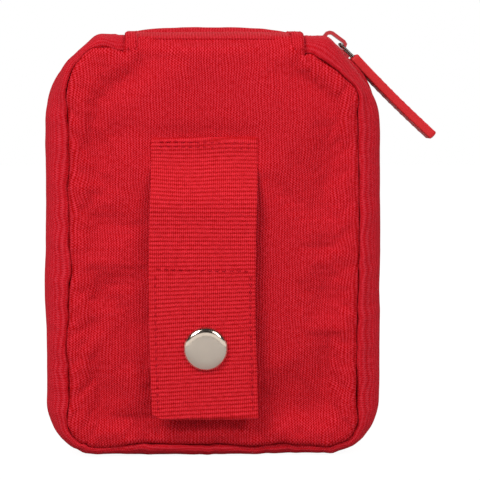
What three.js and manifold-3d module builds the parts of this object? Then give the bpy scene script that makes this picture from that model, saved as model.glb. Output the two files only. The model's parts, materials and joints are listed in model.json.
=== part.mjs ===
// A belt-worn first aid kit: a soft zipped pouch that opens like a book about a fabric bridge at its top,
// with a webbing strap and snap fastener on its back, and its usual contents inside.
//
// Frame: millimetres, +Z up, +X to the right when looking at the back of the pouch, and +Y from the back
// towards the lid. The origin is under the middle of the pouch, on the plane it stands on.

import * as THREE from "three";
import { mergeVertices } from "three/addons/utils/BufferGeometryUtils.js";
import Module from "manifold-3d";

const wasm = await Module();
wasm.setup();

// ---------- driving dimensions ----------

const GAP = 0.3; // between pieces that are sewn or clamped together

const POUCH = {
  halfWidth: 59,
  height: 148,
  backSeamY: -22,
  frontSeamY: 22,
  crown: 3, // how far each panel stands out past its seam
  fabric: 1.2,
  panel: 1.4,
};
// The outer outline's top corners are cut across and its bottom corners are round.
const CORNER = { across: 18.8, down: 16.1, topRadius: 5, sideRadius: 24, bottomRadius: 19 };
const SEAM = { halfWidth: 49.7, bottom: 5.2, top: 142.4, topRadius: 22, bottomRadius: 11 };

const ZIP = {
  y: 7, // the plane in which the two halves part
  opening: 6, // from that plane to the edge of each gusset
  tape: { from: 0.8, to: 9, level: 2.2, thickness: 0.6 },
  coil: { from: 0.7, to: 3.2, level: 0.3, thickness: 1.6 },
};
const BRIDGE = { halfWidth: 31, hem: 4, hemRise: 0.8, top: 149.5, arch: 0.7, crease: 0.5 };

const SLIDER = { along: 6.3, length: 11.8, halfWidth: 4.8 };
const CROWN = { halfWidth: 1.5, pivotAlong: 0.5, pivotOut: 2.3 };
const PULLER = { droop: 3.9, wireRadius: 0.55, armSpacing: 2.9, armLength: 7, grip: 5 };
const TAB = { length: 40, width: 10.6, thickness: 3.6, ribs: 9, ribStart: 11, ribHeight: 0.3 };

const STRAP = {
  x: -3.4,
  width: 36.7,
  thickness: 1.3,
  top: 112.4,
  hinge: 107.4,
  fold: 68.7,
  bottom: 14.7,
  outerY: -33.2,
};
const SNAP = {
  z: 39.8,
  capRadius: 7.5,
  socketRadius: 6.2,
  socketBase: -30.1, // where the cap's shank ends, under the strap
  holeRadius: 2.6,
  studRadius: 3,
  seatRadius: 5.5,
};

const SEGMENTS = 24; // round a full turn of a small fitting

// Where the panels' outer faces are flat.
const BACK_FACE = POUCH.backSeamY - POUCH.crown;
const FRONT_FACE = POUCH.frontSeamY + POUCH.crown;

// ---------- materials ----------

const material = (color, roughness, metalness = 0) =>
  new THREE.MeshStandardMaterial({ color, roughness, metalness });

const RED_FABRIC = material(0xc32234, 0.85);
const RED_WEBBING = material(0xd01f2f, 0.8);
const RED_TAPE = material(0xb51d2e, 0.85);
const RED_RUBBER = material(0xd8282c, 0.45);
const RED_ENAMEL = material(0xc01f2b, 0.3, 0.4);
const NICKEL = material(0xbab0a2, 0.28, 1);
const STEEL = material(0x8d8d8a, 0.3, 1);
const BLACK_MESH = material(0x1d1e22, 0.9);
const BLACK_ELASTIC = material(0x24252a, 0.85);
const GREEN_PATCH = material(0x1d7a45, 0.85);
const WHITE_FABRIC = material(0xf2efe8, 0.95);
const CREPE = material(0xe2cfae, 0.95);
const WHITE_PLASTIC = material(0xf4f4f2, 0.4);
const PAPER = material(0xeef0ee, 0.7);
const SILVER_FOIL = material(0xc9cdd2, 0.25, 0.9);
const BLUE_NITRILE = material(0x3f6fc4, 0.55);
const ORANGE_PLASTIC = material(0xe06a1c, 0.4);

// ---------- small tools ----------

// Turns a closed geometry's faces to point outwards.
function outward(geometry) {
  const bare = new THREE.BufferGeometry().setAttribute("position", geometry.getAttribute("position"));
  bare.setIndex(geometry.index);
  const merged = mergeVertices(bare, 1e-4);
  const position = merged.getAttribute("position");
  const index = merged.index.array;
  const corner = [new THREE.Vector3(), new THREE.Vector3(), new THREE.Vector3()];
  let volume = 0;
  for (let i = 0; i < index.length; i += 3) {
    corner.forEach((v, k) => v.fromBufferAttribute(position, index[i + k]));
    volume += corner[0].dot(corner[1].clone().cross(corner[2]));
  }
  if (volume < 0) {
    for (let i = 0; i < index.length; i += 3) {
      [index[i + 1], index[i + 2]] = [index[i + 2], index[i + 1]];
    }
  }
  return merged;
}

function toSolid(geometry) {
  const closed = outward(geometry);
  return new wasm.Manifold(
    new wasm.Mesh({
      numProp: 3,
      vertProperties: new Float32Array(closed.getAttribute("position").array),
      triVerts: new Uint32Array(closed.index.array),
    }),
  );
}

function toGeometry(manifold) {
  const mesh = manifold.getMesh();
  const geometry = new THREE.BufferGeometry();
  geometry.setAttribute("position", new THREE.BufferAttribute(mesh.vertProperties, 3));
  geometry.setIndex(new THREE.BufferAttribute(mesh.triVerts, 1));
  return geometry;
}

const join = (...geometries) => toGeometry(geometries.map(toSolid).reduce((a, b) => a.add(b)));

const cut = (geometry, ...tools) =>
  toGeometry(tools.map(toSolid).reduce((left, tool) => left.subtract(tool), toSolid(geometry)));

// A solid through a row of closed rings with equally many points each. `ends` says how the row's two ends
// close: "none" joins the last ring to the first, "strip" suits a ring that runs out and back along itself,
// and "fan" suits a ring round a middle.
function loft(rings, ends) {
  const count = rings[0].length;
  const points = rings.flat();
  const index = [];
  const spans = ends === "none" ? rings.length : rings.length - 1;
  for (let i = 0; i < spans; i++) {
    const next = (i + 1) % rings.length;
    for (let j = 0; j < count; j++) {
      const k = (j + 1) % count;
      index.push(i * count + j, i * count + k, next * count + k);
      index.push(i * count + j, next * count + k, next * count + j);
    }
  }
  for (const [first, turned] of ends === "none" ? [] : [[0, true], [points.length - count, false]]) {
    const faces = ends === "fan" ? fanCap(points, first, count) : stripCap(first, count);
    index.push(...faces.flatMap(([a, b, c]) => (turned ? [a, c, b] : [a, b, c])));
  }
  const geometry = new THREE.BufferGeometry().setFromPoints(points);
  geometry.setIndex(index);
  return outward(geometry);
}

function stripCap(first, count) {
  const faces = [];
  for (let i = 0; i < count / 2 - 1; i++) {
    const [a, b, c, d] = [i, i + 1, count - 2 - i, count - 1 - i].map((k) => first + k);
    faces.push([a, b, c], [a, c, d]);
  }
  return faces;
}

// Adds the middle of the ring as one more point.
function fanCap(points, first, count) {
  const ring = points.slice(first, first + count);
  const middle = ring.reduce((sum, p) => sum.add(p), new THREE.Vector3()).divideScalar(count);
  points.push(middle);
  return ring.map((_, i) => [points.length - 1, first + i, first + ((i + 1) % count)]);
}

// A solid of revolution about +Y from [radius, height] points.
const turned = (points, segments = SEGMENTS) =>
  outward(new THREE.LatheGeometry(points.map(([r, h]) => new THREE.Vector2(r, h)), segments));

// A flat outline in X and Y given depth along Z.
const extruded = (points, depth, options = {}) =>
  outward(
    new THREE.ExtrudeGeometry(new THREE.Shape(points.map(([x, y]) => new THREE.Vector2(x, y))), {
      depth,
      bevelEnabled: false,
      ...options,
    }),
  );

function roundedRectangle(width, height, radius) {
  const shape = new THREE.Shape();
  const [x, y] = [width / 2, height / 2];
  shape.moveTo(-x + radius, -y);
  shape.lineTo(x - radius, -y);
  shape.absarc(x - radius, -y + radius, radius, -Math.PI / 2, 0);
  shape.absarc(x - radius, y - radius, radius, 0, Math.PI / 2);
  shape.absarc(-x + radius, y - radius, radius, Math.PI / 2, Math.PI);
  shape.absarc(-x + radius, -y + radius, radius, Math.PI, 1.5 * Math.PI);
  return shape;
}

function mesh(name, geometry, look, x = 0, y = 0, z = 0) {
  const made = new THREE.Mesh(geometry, look);
  made.name = name;
  made.position.set(x, y, z);
  return made;
}

function group(...children) {
  const made = new THREE.Group();
  made.add(...children);
  return made;
}

// ---------- outlines ----------

// Stations are points on an outline with the unit direction that points into the pouch there.
const station = (x, z, inX, inZ) => ({ x, z, inX, inZ });

function straight(from, to, inwards, steps) {
  return Array.from({ length: steps }, (_, i) => {
    const t = i / steps;
    return station(from[0] + (to[0] - from[0]) * t, from[1] + (to[1] - from[1]) * t, ...inwards);
  });
}

// Clockwise round a centre, from one angle in degrees to a smaller one.
function round(centre, radius, fromDegrees, toDegrees, steps) {
  return Array.from({ length: steps }, (_, i) => {
    const angle = THREE.MathUtils.degToRad(fromDegrees + ((toDegrees - fromDegrees) * i) / steps);
    const [c, s] = [Math.cos(angle), Math.sin(angle)];
    return station(centre[0] + radius * c, centre[1] + radius * s, -c, -s);
  });
}

// Steps along each stretch of half an outline. Both outlines use them, so their stations pair up.
const STEPS = { topCorner: 18, side: 4, bottomCorner: 6, bottom: 2 };

// The same path in equal steps, without its last station.
function evenly(path, steps) {
  const lengths = [0];
  for (let i = 1; i < path.length; i++) {
    lengths.push(lengths[i - 1] + Math.hypot(path[i].x - path[i - 1].x, path[i].z - path[i - 1].z));
  }
  return Array.from({ length: steps }, (_, k) => {
    const at = (lengths.at(-1) * k) / steps;
    const i = Math.min(lengths.findIndex((length) => length > at), path.length - 1);
    const t = (at - lengths[i - 1]) / (lengths[i] - lengths[i - 1]);
    const between = (key) => path[i - 1][key] + (path[i][key] - path[i - 1][key]) * t;
    const size = Math.hypot(between("inX"), between("inZ"));
    return station(between("x"), between("z"), between("inX") / size, between("inZ") / size);
  });
}

// The slope across each top corner, along which the zip slider is parked.
const SLOPE_ANGLE = Math.atan2(CORNER.down, CORNER.across);
const SLOPE_DEGREES = THREE.MathUtils.radToDeg(SLOPE_ANGLE);
const SLOPE_START = [POUCH.halfWidth - CORNER.across, POUCH.height];

function outerHalf() {
  const slope = [Math.cos(SLOPE_ANGLE), -Math.sin(SLOPE_ANGLE)];
  const topCut = CORNER.topRadius * Math.tan(SLOPE_ANGLE / 2);
  const sideCut = CORNER.sideRadius * Math.tan((Math.PI / 2 - SLOPE_ANGLE) / 2);
  const slopeEnd = [POUCH.halfWidth, POUCH.height - CORNER.down];
  const bendStart = [SLOPE_START[0] - topCut, POUCH.height];
  const bendCentre = [bendStart[0], bendStart[1] - CORNER.topRadius];
  const bendEnd = [SLOPE_START[0] + slope[0] * topCut, SLOPE_START[1] + slope[1] * topCut];
  const sideStart = [slopeEnd[0] - slope[0] * sideCut, slopeEnd[1] - slope[1] * sideCut];
  const sideEnd = [POUCH.halfWidth, slopeEnd[1] - sideCut];
  const sideCentre = [POUCH.halfWidth - CORNER.sideRadius, sideEnd[1]];
  const bottom = CORNER.bottomRadius;
  const cornerPath = [
    station(BRIDGE.halfWidth + GAP, POUCH.height, 0, -1),
    ...round(bendCentre, CORNER.topRadius, 90, 90 - SLOPE_DEGREES, 8),
    ...straight(bendEnd, sideStart, [-Math.sin(SLOPE_ANGLE), -Math.cos(SLOPE_ANGLE)], 1),
    ...round(sideCentre, CORNER.sideRadius, 90 - SLOPE_DEGREES, 0, 8),
    station(...sideEnd, -1, 0),
  ];
  return [
    ...evenly(cornerPath, STEPS.topCorner),
    ...straight(sideEnd, [POUCH.halfWidth, bottom], [-1, 0], STEPS.side),
    ...round([POUCH.halfWidth - bottom, bottom], bottom, 0, -90, STEPS.bottomCorner),
    ...straight([POUCH.halfWidth - bottom, 0], [0, 0], [0, 1], STEPS.bottom),
    station(0, 0, 0, 1),
  ];
}

function seamHalf() {
  const { halfWidth, bottom, top, topRadius, bottomRadius } = SEAM;
  const topCentre = [halfWidth - topRadius, top - topRadius];
  const bridgeEnd = THREE.MathUtils.radToDeg(Math.acos((BRIDGE.halfWidth + GAP - topCentre[0]) / topRadius));
  return [
    ...round(topCentre, topRadius, bridgeEnd, 0, STEPS.topCorner),
    ...straight([halfWidth, topCentre[1]], [halfWidth, bottom + bottomRadius], [-1, 0], STEPS.side),
    ...round([halfWidth - bottomRadius, bottom + bottomRadius], bottomRadius, 0, -90, STEPS.bottomCorner),
    ...straight([halfWidth - bottomRadius, bottom], [0, bottom], [0, 1], STEPS.bottom),
    station(0, bottom, 0, 1),
  ];
}

// Adds the mirrored left half, so the stations run clockwise from the bridge's right end to its left end.
function bothHalves(half) {
  const mirrored = half.slice(0, -1).map((s) => station(-s.x, s.z, -s.inX, s.inZ));
  return [...half, ...mirrored.reverse()];
}

const OUTER = bothHalves(outerHalf());
const SEAM_LINE = bothHalves(seamHalf());

// Each outer station with the direction and distance to its partner on the seam.
const RIBS = OUTER.map((s, i) => {
  const [dx, dz] = [SEAM_LINE[i].x - s.x, SEAM_LINE[i].z - s.z];
  const reach = Math.hypot(dx, dz);
  return { x: s.x, z: s.z, inX: dx / reach, inZ: dz / reach, reach };
});

// The seam as a closed loop, across under the bridge as well.
const BRIDGE_STEPS = 6;
const SEAM_END = SEAM_LINE.at(-1);
const SEAM_LOOP = [
  ...SEAM_LINE,
  ...straight([SEAM_END.x, SEAM_END.z], [-SEAM_END.x, SEAM_END.z], [0, -1], BRIDGE_STEPS).slice(1),
];

// A point at `inset` mm inside a station, at depth y.
const inside = (s, inset, y) => new THREE.Vector3(s.x + s.inX * inset, y, s.z + s.inZ * inset);

// Sweeps a cross-section given as [inset, y] points along a row of stations.
const sweep = (stations, section) =>
  loft(
    stations.map((s) => section(s).map(([inset, y]) => inside(s, inset, y))),
    "strip",
  );

// ---------- pouch shell ----------

// A padded panel: flat in its middle and rounded down to the seam all round. `side` is -1 at the back and 1
// on the lid.
function panelGeometry(side) {
  const centre = { x: 0, z: (SEAM.bottom + SEAM.top) / 2 };
  const clearance = 1; // to the gusset, all round
  const flatShare = 0.82;
  const shares = [0.5, flatShare, 0.89, 0.96, 1];
  const seamY = Math.abs(POUCH.backSeamY);
  const levelAt = (share) => {
    const t = Math.max(0, (share - flatShare) / (1 - flatShare));
    return seamY + POUCH.crown * Math.sqrt(1 - t * t * 0.98);
  };
  const ring = (share, level) =>
    SEAM_LOOP.map((s) => {
      const rim = inside(s, clearance, 0);
      const x = centre.x + (rim.x - centre.x) * share;
      const z = centre.z + (rim.z - centre.z) * share;
      return new THREE.Vector3(x, side * level, z);
    });
  const outer = shares.map((share) => ring(share, levelAt(share)));
  const inner = shares.map((share) => ring(share, levelAt(share) - POUCH.panel));
  return loft([...inner, ...outer.reverse()], "fan");
}

// The inner side of a fabric profile of [inset, y] points, one thickness further in.
function thickened(profile, thickness, side) {
  const inner = profile.map(([inset, y], i) => {
    const before = profile[Math.max(i - 1, 0)];
    const after = profile[Math.min(i + 1, profile.length - 1)];
    const [da, dy] = [after[0] - before[0], after[1] - before[1]];
    const length = Math.hypot(da, dy);
    return [inset - (side * dy * thickness) / length, y + (side * da * thickness) / length];
  });
  return [...profile, ...inner.reverse()];
}

// One side's gusset, from its seam out to the fullest line and on to the edge beside the zip.
function gussetGeometry(side) {
  const seamY = side * POUCH.frontSeamY;
  const edgeY = ZIP.y + side * ZIP.opening;
  const section = ({ reach }) => {
    const profile = [
      [reach, seamY - side * GAP],
      [reach * 0.45, seamY - side * 1.8],
      [reach * 0.12, seamY - side * 4.4],
      [0, seamY - side * 6.4],
      [0, edgeY],
    ];
    return thickened(profile, POUCH.fabric, side);
  };
  return sweep(RIBS, section);
}

// The bound seam allowance that stands inside each half.
function bindingGeometry(side) {
  const [near, far, rise, thickness] = [1.2, 5, 1.9, 1.4];
  const low = side * (Math.abs(POUCH.backSeamY) - rise);
  const high = low - side * thickness;
  const rings = SEAM_LOOP.map((s) => [
    inside(s, near, low),
    inside(s, far, low),
    inside(s, far, high),
    inside(s, near, high),
  ]);
  return loft(rings, "none");
}

// Half of the fabric bridge over the top, from a panel's top edge to the crease the lid turns about.
function bridgeGeometry(side) {
  const seamY = side * POUCH.frontSeamY;
  const creaseY = ZIP.y + side * BRIDGE.crease;
  const rise = BRIDGE.top - SEAM.top;
  const hemStart = BRIDGE.halfWidth - BRIDGE.hem;
  const across = [BRIDGE.halfWidth, hemStart + 0.2, hemStart, hemStart / 2];
  const columns = [...across, 0, ...across.toReversed().map((x) => -x)];
  const rings = columns.map((x) => {
    const share = x / BRIDGE.halfWidth;
    const hem = Math.abs(x) > hemStart ? BRIDGE.hemRise : 0;
    const lift = BRIDGE.arch * (1 - share * share) + hem;
    const depth = Math.abs(creaseY - seamY);
    const profile = [
      [rise, seamY - side * GAP],
      [rise * 0.45, seamY - side * 1.8],
      [rise * 0.12, seamY - side * 4.4],
      [0, seamY - side * depth * 0.4],
      [0, creaseY + side * 2.4],
      [0.9, creaseY],
    ];
    const raised = profile.map(([inset, y], i) => [i ? inset - lift : inset, y]);
    return thickened(raised, POUCH.panel, side).map(
      ([inset, y]) => new THREE.Vector3(x, y, BRIDGE.top - inset),
    );
  });
  return loft(rings, "strip");
}

// The strip that a zip part sweeps along the whole outline on one side of the zip's plane.
function zipStrip({ from, to, level, thickness }, side) {
  const section = () => [
    [level, ZIP.y + side * from],
    [level, ZIP.y + side * to],
    [level + thickness, ZIP.y + side * to],
    [level + thickness, ZIP.y + side * from],
  ];
  return sweep(OUTER, section);
}

// The coil as the half-round band that its turns fill.
function coilGeometry(side) {
  const { from, to, level, thickness } = ZIP.coil;
  const round = thickness * 0.4;
  const section = () => [
    [level + round, ZIP.y + side * from],
    [level, ZIP.y + side * (from + round)],
    [level, ZIP.y + side * (to - round)],
    [level + round, ZIP.y + side * to],
    [level + thickness, ZIP.y + side * to],
    [level + thickness, ZIP.y + side * from],
  ];
  return sweep(OUTER, section);
}

// ---------- zip slider and puller ----------

// Both are drawn lying on the slope: X down along the zip, Y across it, Z out of the pouch.
function onSlope(along, out, ...children) {
  const made = group(...children);
  const [c, s] = [Math.cos(SLOPE_ANGLE), Math.sin(SLOPE_ANGLE)];
  made.position.set(SLOPE_START[0] + along * c + out * s, ZIP.y, SLOPE_START[1] - along * s + out * c);
  made.rotation.y = SLOPE_ANGLE;
  return made;
}

function sliderGeometry() {
  const { length, halfWidth } = SLIDER;
  const [half, nose] = [length / 2, 3];
  // Widest at the end where the two coils enter, and narrower where the closed chain leaves.
  const plateOutline = [
    [-half, -halfWidth + 1.4],
    [-half + 1.6, -halfWidth],
    [0, -halfWidth],
    [half, -halfWidth + 1.1],
    [half, halfWidth - 1.1],
    [0, halfWidth],
    [-half + 1.6, halfWidth],
    [-half, halfWidth - 1.4],
  ];
  const top = extruded(plateOutline, 0.95).translate(0, 0, 0.05);
  const bottom = extruded(plateOutline, 1.1).translate(0, 0, -4.6);
  const post = new THREE.BoxGeometry(nose, 0.8, 4.3).translate(-half + nose / 2 + 0.4, 0, -1.65);
  const flange = (side) =>
    new THREE.BoxGeometry(length * 0.6, 0.7, 1.4).translate(0, side * (halfWidth - 0.55), -0.4);
  return join(top, bottom, post, flange(-1), flange(1), crownGeometry());
}

// The loop on the slider: fixed at its upper end and bent down almost onto the plate at the other.
function crownGeometry() {
  const outer = [
    [-6.3, 0.1],
    [-6.3, 2.4],
    [-5.6, 3.5],
    [-4.4, 4.1],
    [1, 4.5],
    [2.4, 4],
    [2.8, 3],
    [2.8, 1.6],
  ];
  const inner = [
    [1.7, 1.6],
    [1.7, 2.9],
    [1, 3.3],
    [-4.1, 2.9],
    [-5, 2.1],
    [-5, 0.1],
  ];
  const flat = extruded([...outer, ...inner], CROWN.halfWidth * 2);
  return flat.translate(0, 0, -CROWN.halfWidth).rotateX(Math.PI / 2);
}

const rod = (length, radius, segments = 10) => new THREE.CylinderGeometry(radius, radius, length, segments);

// The wire loop that hangs the tab on the crown. Its cross bar is the puller's pivot.
function wireGeometry() {
  const { wireRadius, armSpacing, armLength, grip } = PULLER;
  const reach = armLength + grip - GAP;
  const arm = (side) =>
    rod(reach, wireRadius)
      .rotateZ(Math.PI / 2)
      .translate(reach / 2, side * armSpacing, 0);
  const elbow = (side) => new THREE.SphereGeometry(wireRadius, 10, 8).translate(0, side * armSpacing, 0);
  return join(rod(armSpacing * 2, wireRadius), arm(-1), arm(1), elbow(-1), elbow(1));
}

// The moulded pull tab in side view: thinner at the wire, with low cross ribs on both faces.
function tabGeometry() {
  const { length, width, thickness, ribs, ribStart, ribHeight } = TAB;
  const half = thickness / 2;
  const shoulder = 2.5;
  const pitch = (length - ribStart - 2.5) / ribs;
  const face = [
    [0, half - 0.5],
    [shoulder, half],
  ];
  for (let i = 0; i < ribs; i++) {
    const [x, crest] = [ribStart + i * pitch, half + ribHeight];
    const end = x + pitch * 0.55;
    face.push([x, half], [x + 0.3, crest], [end, crest], [end + 0.3, half]);
  }
  face.push([length - 0.5, half], [length, half - 0.5]);
  const underside = face.map(([x, z]) => [x, -z]).reverse();
  const body = extruded([...face, ...underside], width)
    .translate(0, 0, -width / 2)
    .rotateX(Math.PI / 2)
    .translate(PULLER.armLength, 0, 0);
  const bore = (side) =>
    rod(PULLER.grip * 2, PULLER.wireRadius + GAP)
      .rotateZ(Math.PI / 2)
      .translate(PULLER.armLength, side * PULLER.armSpacing, 0);
  return cut(body, bore(-1), bore(1));
}

function zipSlider() {
  const puller = group(
    mesh("pull_wire", wireGeometry(), STEEL),
    mesh("pull_tab", tabGeometry(), RED_RUBBER),
  );
  puller.position.set(CROWN.pivotAlong, 0, CROWN.pivotOut);
  puller.rotation.y = THREE.MathUtils.degToRad(PULLER.droop);
  return onSlope(SLIDER.along, 0, mesh("zip_slider", sliderGeometry(), RED_ENAMEL), puller);
}

// ---------- belt strap and snap fastener ----------

// Side views are drawn with x as y and y as z, then turned so that the width runs along X.
function sideways(profile, width) {
  const flat = extruded(profile, width).translate(0, 0, -width / 2);
  const turn = new THREE.Matrix4().set(0, 0, 1, 0, 1, 0, 0, 0, 0, 1, 0, 0, 0, 0, 0, 1);
  return flat.applyMatrix4(turn);
}

// The strap's end, folded under and sewn flat on the panel.
function strapEndGeometry() {
  const { top, hinge, thickness } = STRAP;
  const near = BACK_FACE - GAP;
  const far = near - thickness * 2;
  return sideways(
    [
      [near, hinge + 0.15],
      [near, top - 0.5],
      [near - 0.5, top],
      [far + 0.5, top],
      [far, top - 0.5],
      [far, hinge + 0.15],
    ],
    STRAP.width,
  );
}

// Outer face of the strap's upper run at height z: it leaves the panel below its sewn end and then hangs
// straight.
function upperRunY(z) {
  const start = BACK_FACE - GAP - STRAP.thickness * 2;
  const bowEnd = 88;
  const t = THREE.MathUtils.clamp((STRAP.hinge - z) / (STRAP.hinge - bowEnd), 0, 1);
  return start + (STRAP.outerY - start) * t * t * (3 - 2 * t);
}

function strapUpperGeometry() {
  const { hinge, fold, thickness } = STRAP;
  const heights = [0.15, 3, 6, 9, 12, 15, 18].map((d) => hinge - d);
  heights.push(fold + 0.15);
  const outer = heights.map((z) => [upperRunY(z), z]);
  const inner = heights.map((z) => [upperRunY(z) + thickness, z]).reverse();
  return sideways([...outer, ...inner], STRAP.width);
}

// The lower run is doubled: the webbing turns under at the bottom and its end comes back up to the fold.
function strapLowerGeometry() {
  const { fold, bottom, thickness, outerY } = STRAP;
  const slit = 0.2;
  const innerY = outerY + thickness * 2 + slit;
  const top = fold - 0.15;
  const turn = thickness + slit / 2;
  const web = sideways(
    [
      [outerY, top],
      [outerY, bottom + turn],
      [outerY + 0.4, bottom + 0.5],
      [outerY + turn, bottom],
      [innerY - 0.4, bottom + 0.5],
      [innerY, bottom + turn],
      [innerY, top],
      [innerY - thickness, top],
      [innerY - thickness, bottom + turn],
      [outerY + thickness, bottom + turn],
      [outerY + thickness, top],
    ],
    STRAP.width,
  );
  const hole = rod(20, SNAP.holeRadius + GAP, SEGMENTS).translate(0, outerY, SNAP.z);
  return cut(web, hole);
}

// The snap's cap, with the hollow shank that goes through the strap into the socket.
function capGeometry() {
  const face = STRAP.outerY - GAP;
  const r = SNAP.capRadius;
  return turned([
    [0, face - 1.9],
    [r * 0.5, face - 1.75],
    [r * 0.85, face - 1.3],
    [r * 0.97, face - 0.8],
    [r, face - 0.3],
    [r - 0.3, face],
    [SNAP.holeRadius, face],
    [SNAP.holeRadius, SNAP.socketBase + 0.1],
    [0, SNAP.socketBase + 0.1],
  ]);
}

// The socket under the strap: a ring that closes over the stud.
function socketGeometry() {
  const r = SNAP.socketRadius;
  const base = SNAP.socketBase;
  const bore = SNAP.studRadius + GAP;
  return turned([
    [SNAP.holeRadius + GAP, base],
    [r - 0.6, base],
    [r, base + 0.4],
    [r, base + 1.7],
    [r - 0.8, base + 2.5],
    [bore + 0.6, base + 2.5],
    [bore, base + 2.1],
    [bore, base + 0.6],
    [SNAP.holeRadius + GAP, base + 0.6],
    [SNAP.holeRadius + GAP, base],
  ]);
}

// The stud on the panel: a flange, a neck and a rounded head.
function studGeometry() {
  const seat = BACK_FACE - GAP;
  const tip = SNAP.socketBase + 0.8;
  const r = SNAP.studRadius;
  return turned([
    [0, tip],
    [r - 1, tip],
    [r, tip + 0.6],
    [r - 0.4, tip + 1.8],
    [r - 0.4, seat - 0.9],
    [SNAP.seatRadius, seat - 0.7],
    [SNAP.seatRadius, seat],
    [1.9, seat],
    [1.9, seat - 0.6],
    [0, seat - 0.6],
  ]);
}

// The rivet that holds the stud from inside the panel.
function rivetGeometry() {
  const seat = BACK_FACE + POUCH.panel + GAP;
  const patch = 0.8 + GAP;
  return turned([
    [0, seat + patch + 0.8],
    [SNAP.seatRadius - 0.5, seat + patch + 0.8],
    [SNAP.seatRadius, seat + patch + 0.3],
    [SNAP.seatRadius, seat + patch],
    [1.5, seat + patch],
    [1.5, BACK_FACE - 0.5],
    [0, BACK_FACE - 0.5],
  ]);
}

// The fabric patch that stiffens the panel behind the stud.
function patchGeometry() {
  const patch = slab(22, 0.8, 22, 3).translate(0, BACK_FACE + POUCH.panel + GAP + 0.4, -11);
  return cut(patch, rod(60, 1.8, 16));
}

function beltStrap() {
  const webbing = (name, geometry) => mesh(name, geometry, RED_WEBBING, STRAP.x);
  const snapPart = (name, geometry) => mesh(name, geometry, NICKEL, STRAP.x, 0, SNAP.z);
  return group(
    webbing("strap_sewn_end", strapEndGeometry()),
    webbing("strap_upper", strapUpperGeometry()),
    webbing("strap_lower", strapLowerGeometry()),
    snapPart("snap_cap", capGeometry()),
    snapPart("snap_socket", socketGeometry()),
    snapPart("snap_stud", studGeometry()),
    snapPart("snap_rivet", rivetGeometry()),
    mesh("stud_patch", patchGeometry(), RED_FABRIC, STRAP.x, 0, SNAP.z),
  );
}

function backPanelGeometry() {
  const hole = rod(20, 1.8, 16).translate(STRAP.x, BACK_FACE, SNAP.z);
  return cut(panelGeometry(-1), hole);
}

function pouchShell() {
  return group(
    mesh("back_panel", backPanelGeometry(), RED_FABRIC),
    mesh("back_gusset", gussetGeometry(-1), RED_FABRIC),
    mesh("back_seam_binding", bindingGeometry(-1), BLACK_ELASTIC),
    mesh("bridge_back", bridgeGeometry(-1), RED_FABRIC),
    mesh("zip_tape_back", zipStrip(ZIP.tape, -1), RED_TAPE),
    mesh("zip_coil_back", coilGeometry(-1), RED_TAPE),
    mesh("front_panel", panelGeometry(1), RED_FABRIC),
    mesh("front_gusset", gussetGeometry(1), RED_FABRIC),
    mesh("front_seam_binding", bindingGeometry(1), BLACK_ELASTIC),
    mesh("bridge_front", bridgeGeometry(1), RED_FABRIC),
    mesh("zip_tape_front", zipStrip(ZIP.tape, 1), RED_TAPE),
    mesh("zip_coil_front", coilGeometry(1), RED_TAPE),
  );
}

// ---------- inside ----------

// A block with its upright edges rounded, standing on z = 0 and centred in x and y.
function slab(width, depth, height, radius = 2) {
  const outline = new THREE.ExtrudeGeometry(roundedRectangle(width, height, radius), {
    depth,
    bevelEnabled: false,
    curveSegments: 3,
  });
  return outward(outline).rotateX(Math.PI / 2).translate(0, depth / 2, height / 2);
}

// A soft packet: a slab whose middle is thicker than its flat sealed edge.
function packetGeometry(width, depth, height, seal) {
  const outline = (inset, y) => {
    const [x, z, c] = [width / 2 - inset, height / 2 - inset, 1.5];
    const right = [[x - c, z], [x, z - c], [x, c - z], [x - c, -z]];
    const left = right.map(([px, pz]) => [-px, -pz]);
    return [...right, ...left].map(([px, pz]) => new THREE.Vector3(px, y, pz + height / 2));
  };
  const face = (side) => [
    outline(seal * 2.4, (side * depth) / 2),
    outline(seal * 1.5, side * depth * 0.42),
    outline(seal, side * 0.35),
    outline(0, side * 0.3),
  ];
  return loft([...face(-1), ...face(1).reverse()], "fan");
}

// A ring or roll about the Y axis, centred in y.
function rollGeometry(outerRadius, innerRadius, width) {
  const [half, edge] = [width / 2, Math.min(1, width / 8)];
  const bore = innerRadius
    ? [[innerRadius, -half], [innerRadius, half]]
    : [[0, -half], [0, half]];
  return turned([
    bore[0],
    [outerRadius - edge, -half],
    [outerRadius, edge - half],
    [outerRadius, half - edge],
    [outerRadius - edge, half],
    bore[1],
    ...(innerRadius ? [bore[0]] : []),
  ]);
}

// A bandage roll lying along X.
const lyingRoll = (radius, width) => rollGeometry(radius, 0, width).rotateZ(Math.PI / 2);

// One mesh pocket with its elastic top edge, from the seam binding at the bottom up to `top`.
function pocket(name, y, top) {
  const [width, bottom, elastic] = [86, 11, 9];
  const net = slab(width, 0.8, top - elastic - GAP - bottom, 6);
  return group(
    mesh(name, net, BLACK_MESH, 0, y, bottom),
    mesh(name + "_elastic", slab(width, 1.8, elastic, 0.8), BLACK_ELASTIC, 0, y, top - elastic),
  );
}

const SCISSORS = { x: -10, z: 50, y: -18.4, blade: 1.2, ringRadius: 9.3, ringAcross: 10, ringAlong: 31 };

// One scissor blade with its shank, drawn closed and pointing down. `side` is the side its own handle is on.
function bladeGeometry(side) {
  const outline = [
    [side * -0.6, -37],
    [side * -2.6, -34],
    [side * -4.2, -4],
    [side * -3.6, 3],
    [side * 3.4, 15],
    [side * 5, 21.5],
    [side * 8, 21.5],
    [side * 7, 14],
    [side * 2.6, 1],
    [side * 1.4, -6],
    [side * 0.9, -35],
  ];
  const flat = extruded(outline, SCISSORS.blade).rotateX(Math.PI / 2);
  const layer = side > 0 ? -GAP / 2 : SCISSORS.blade + GAP / 2;
  return cut(flat.translate(0, layer, 0), rod(10, 1.5, 16));
}

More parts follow.
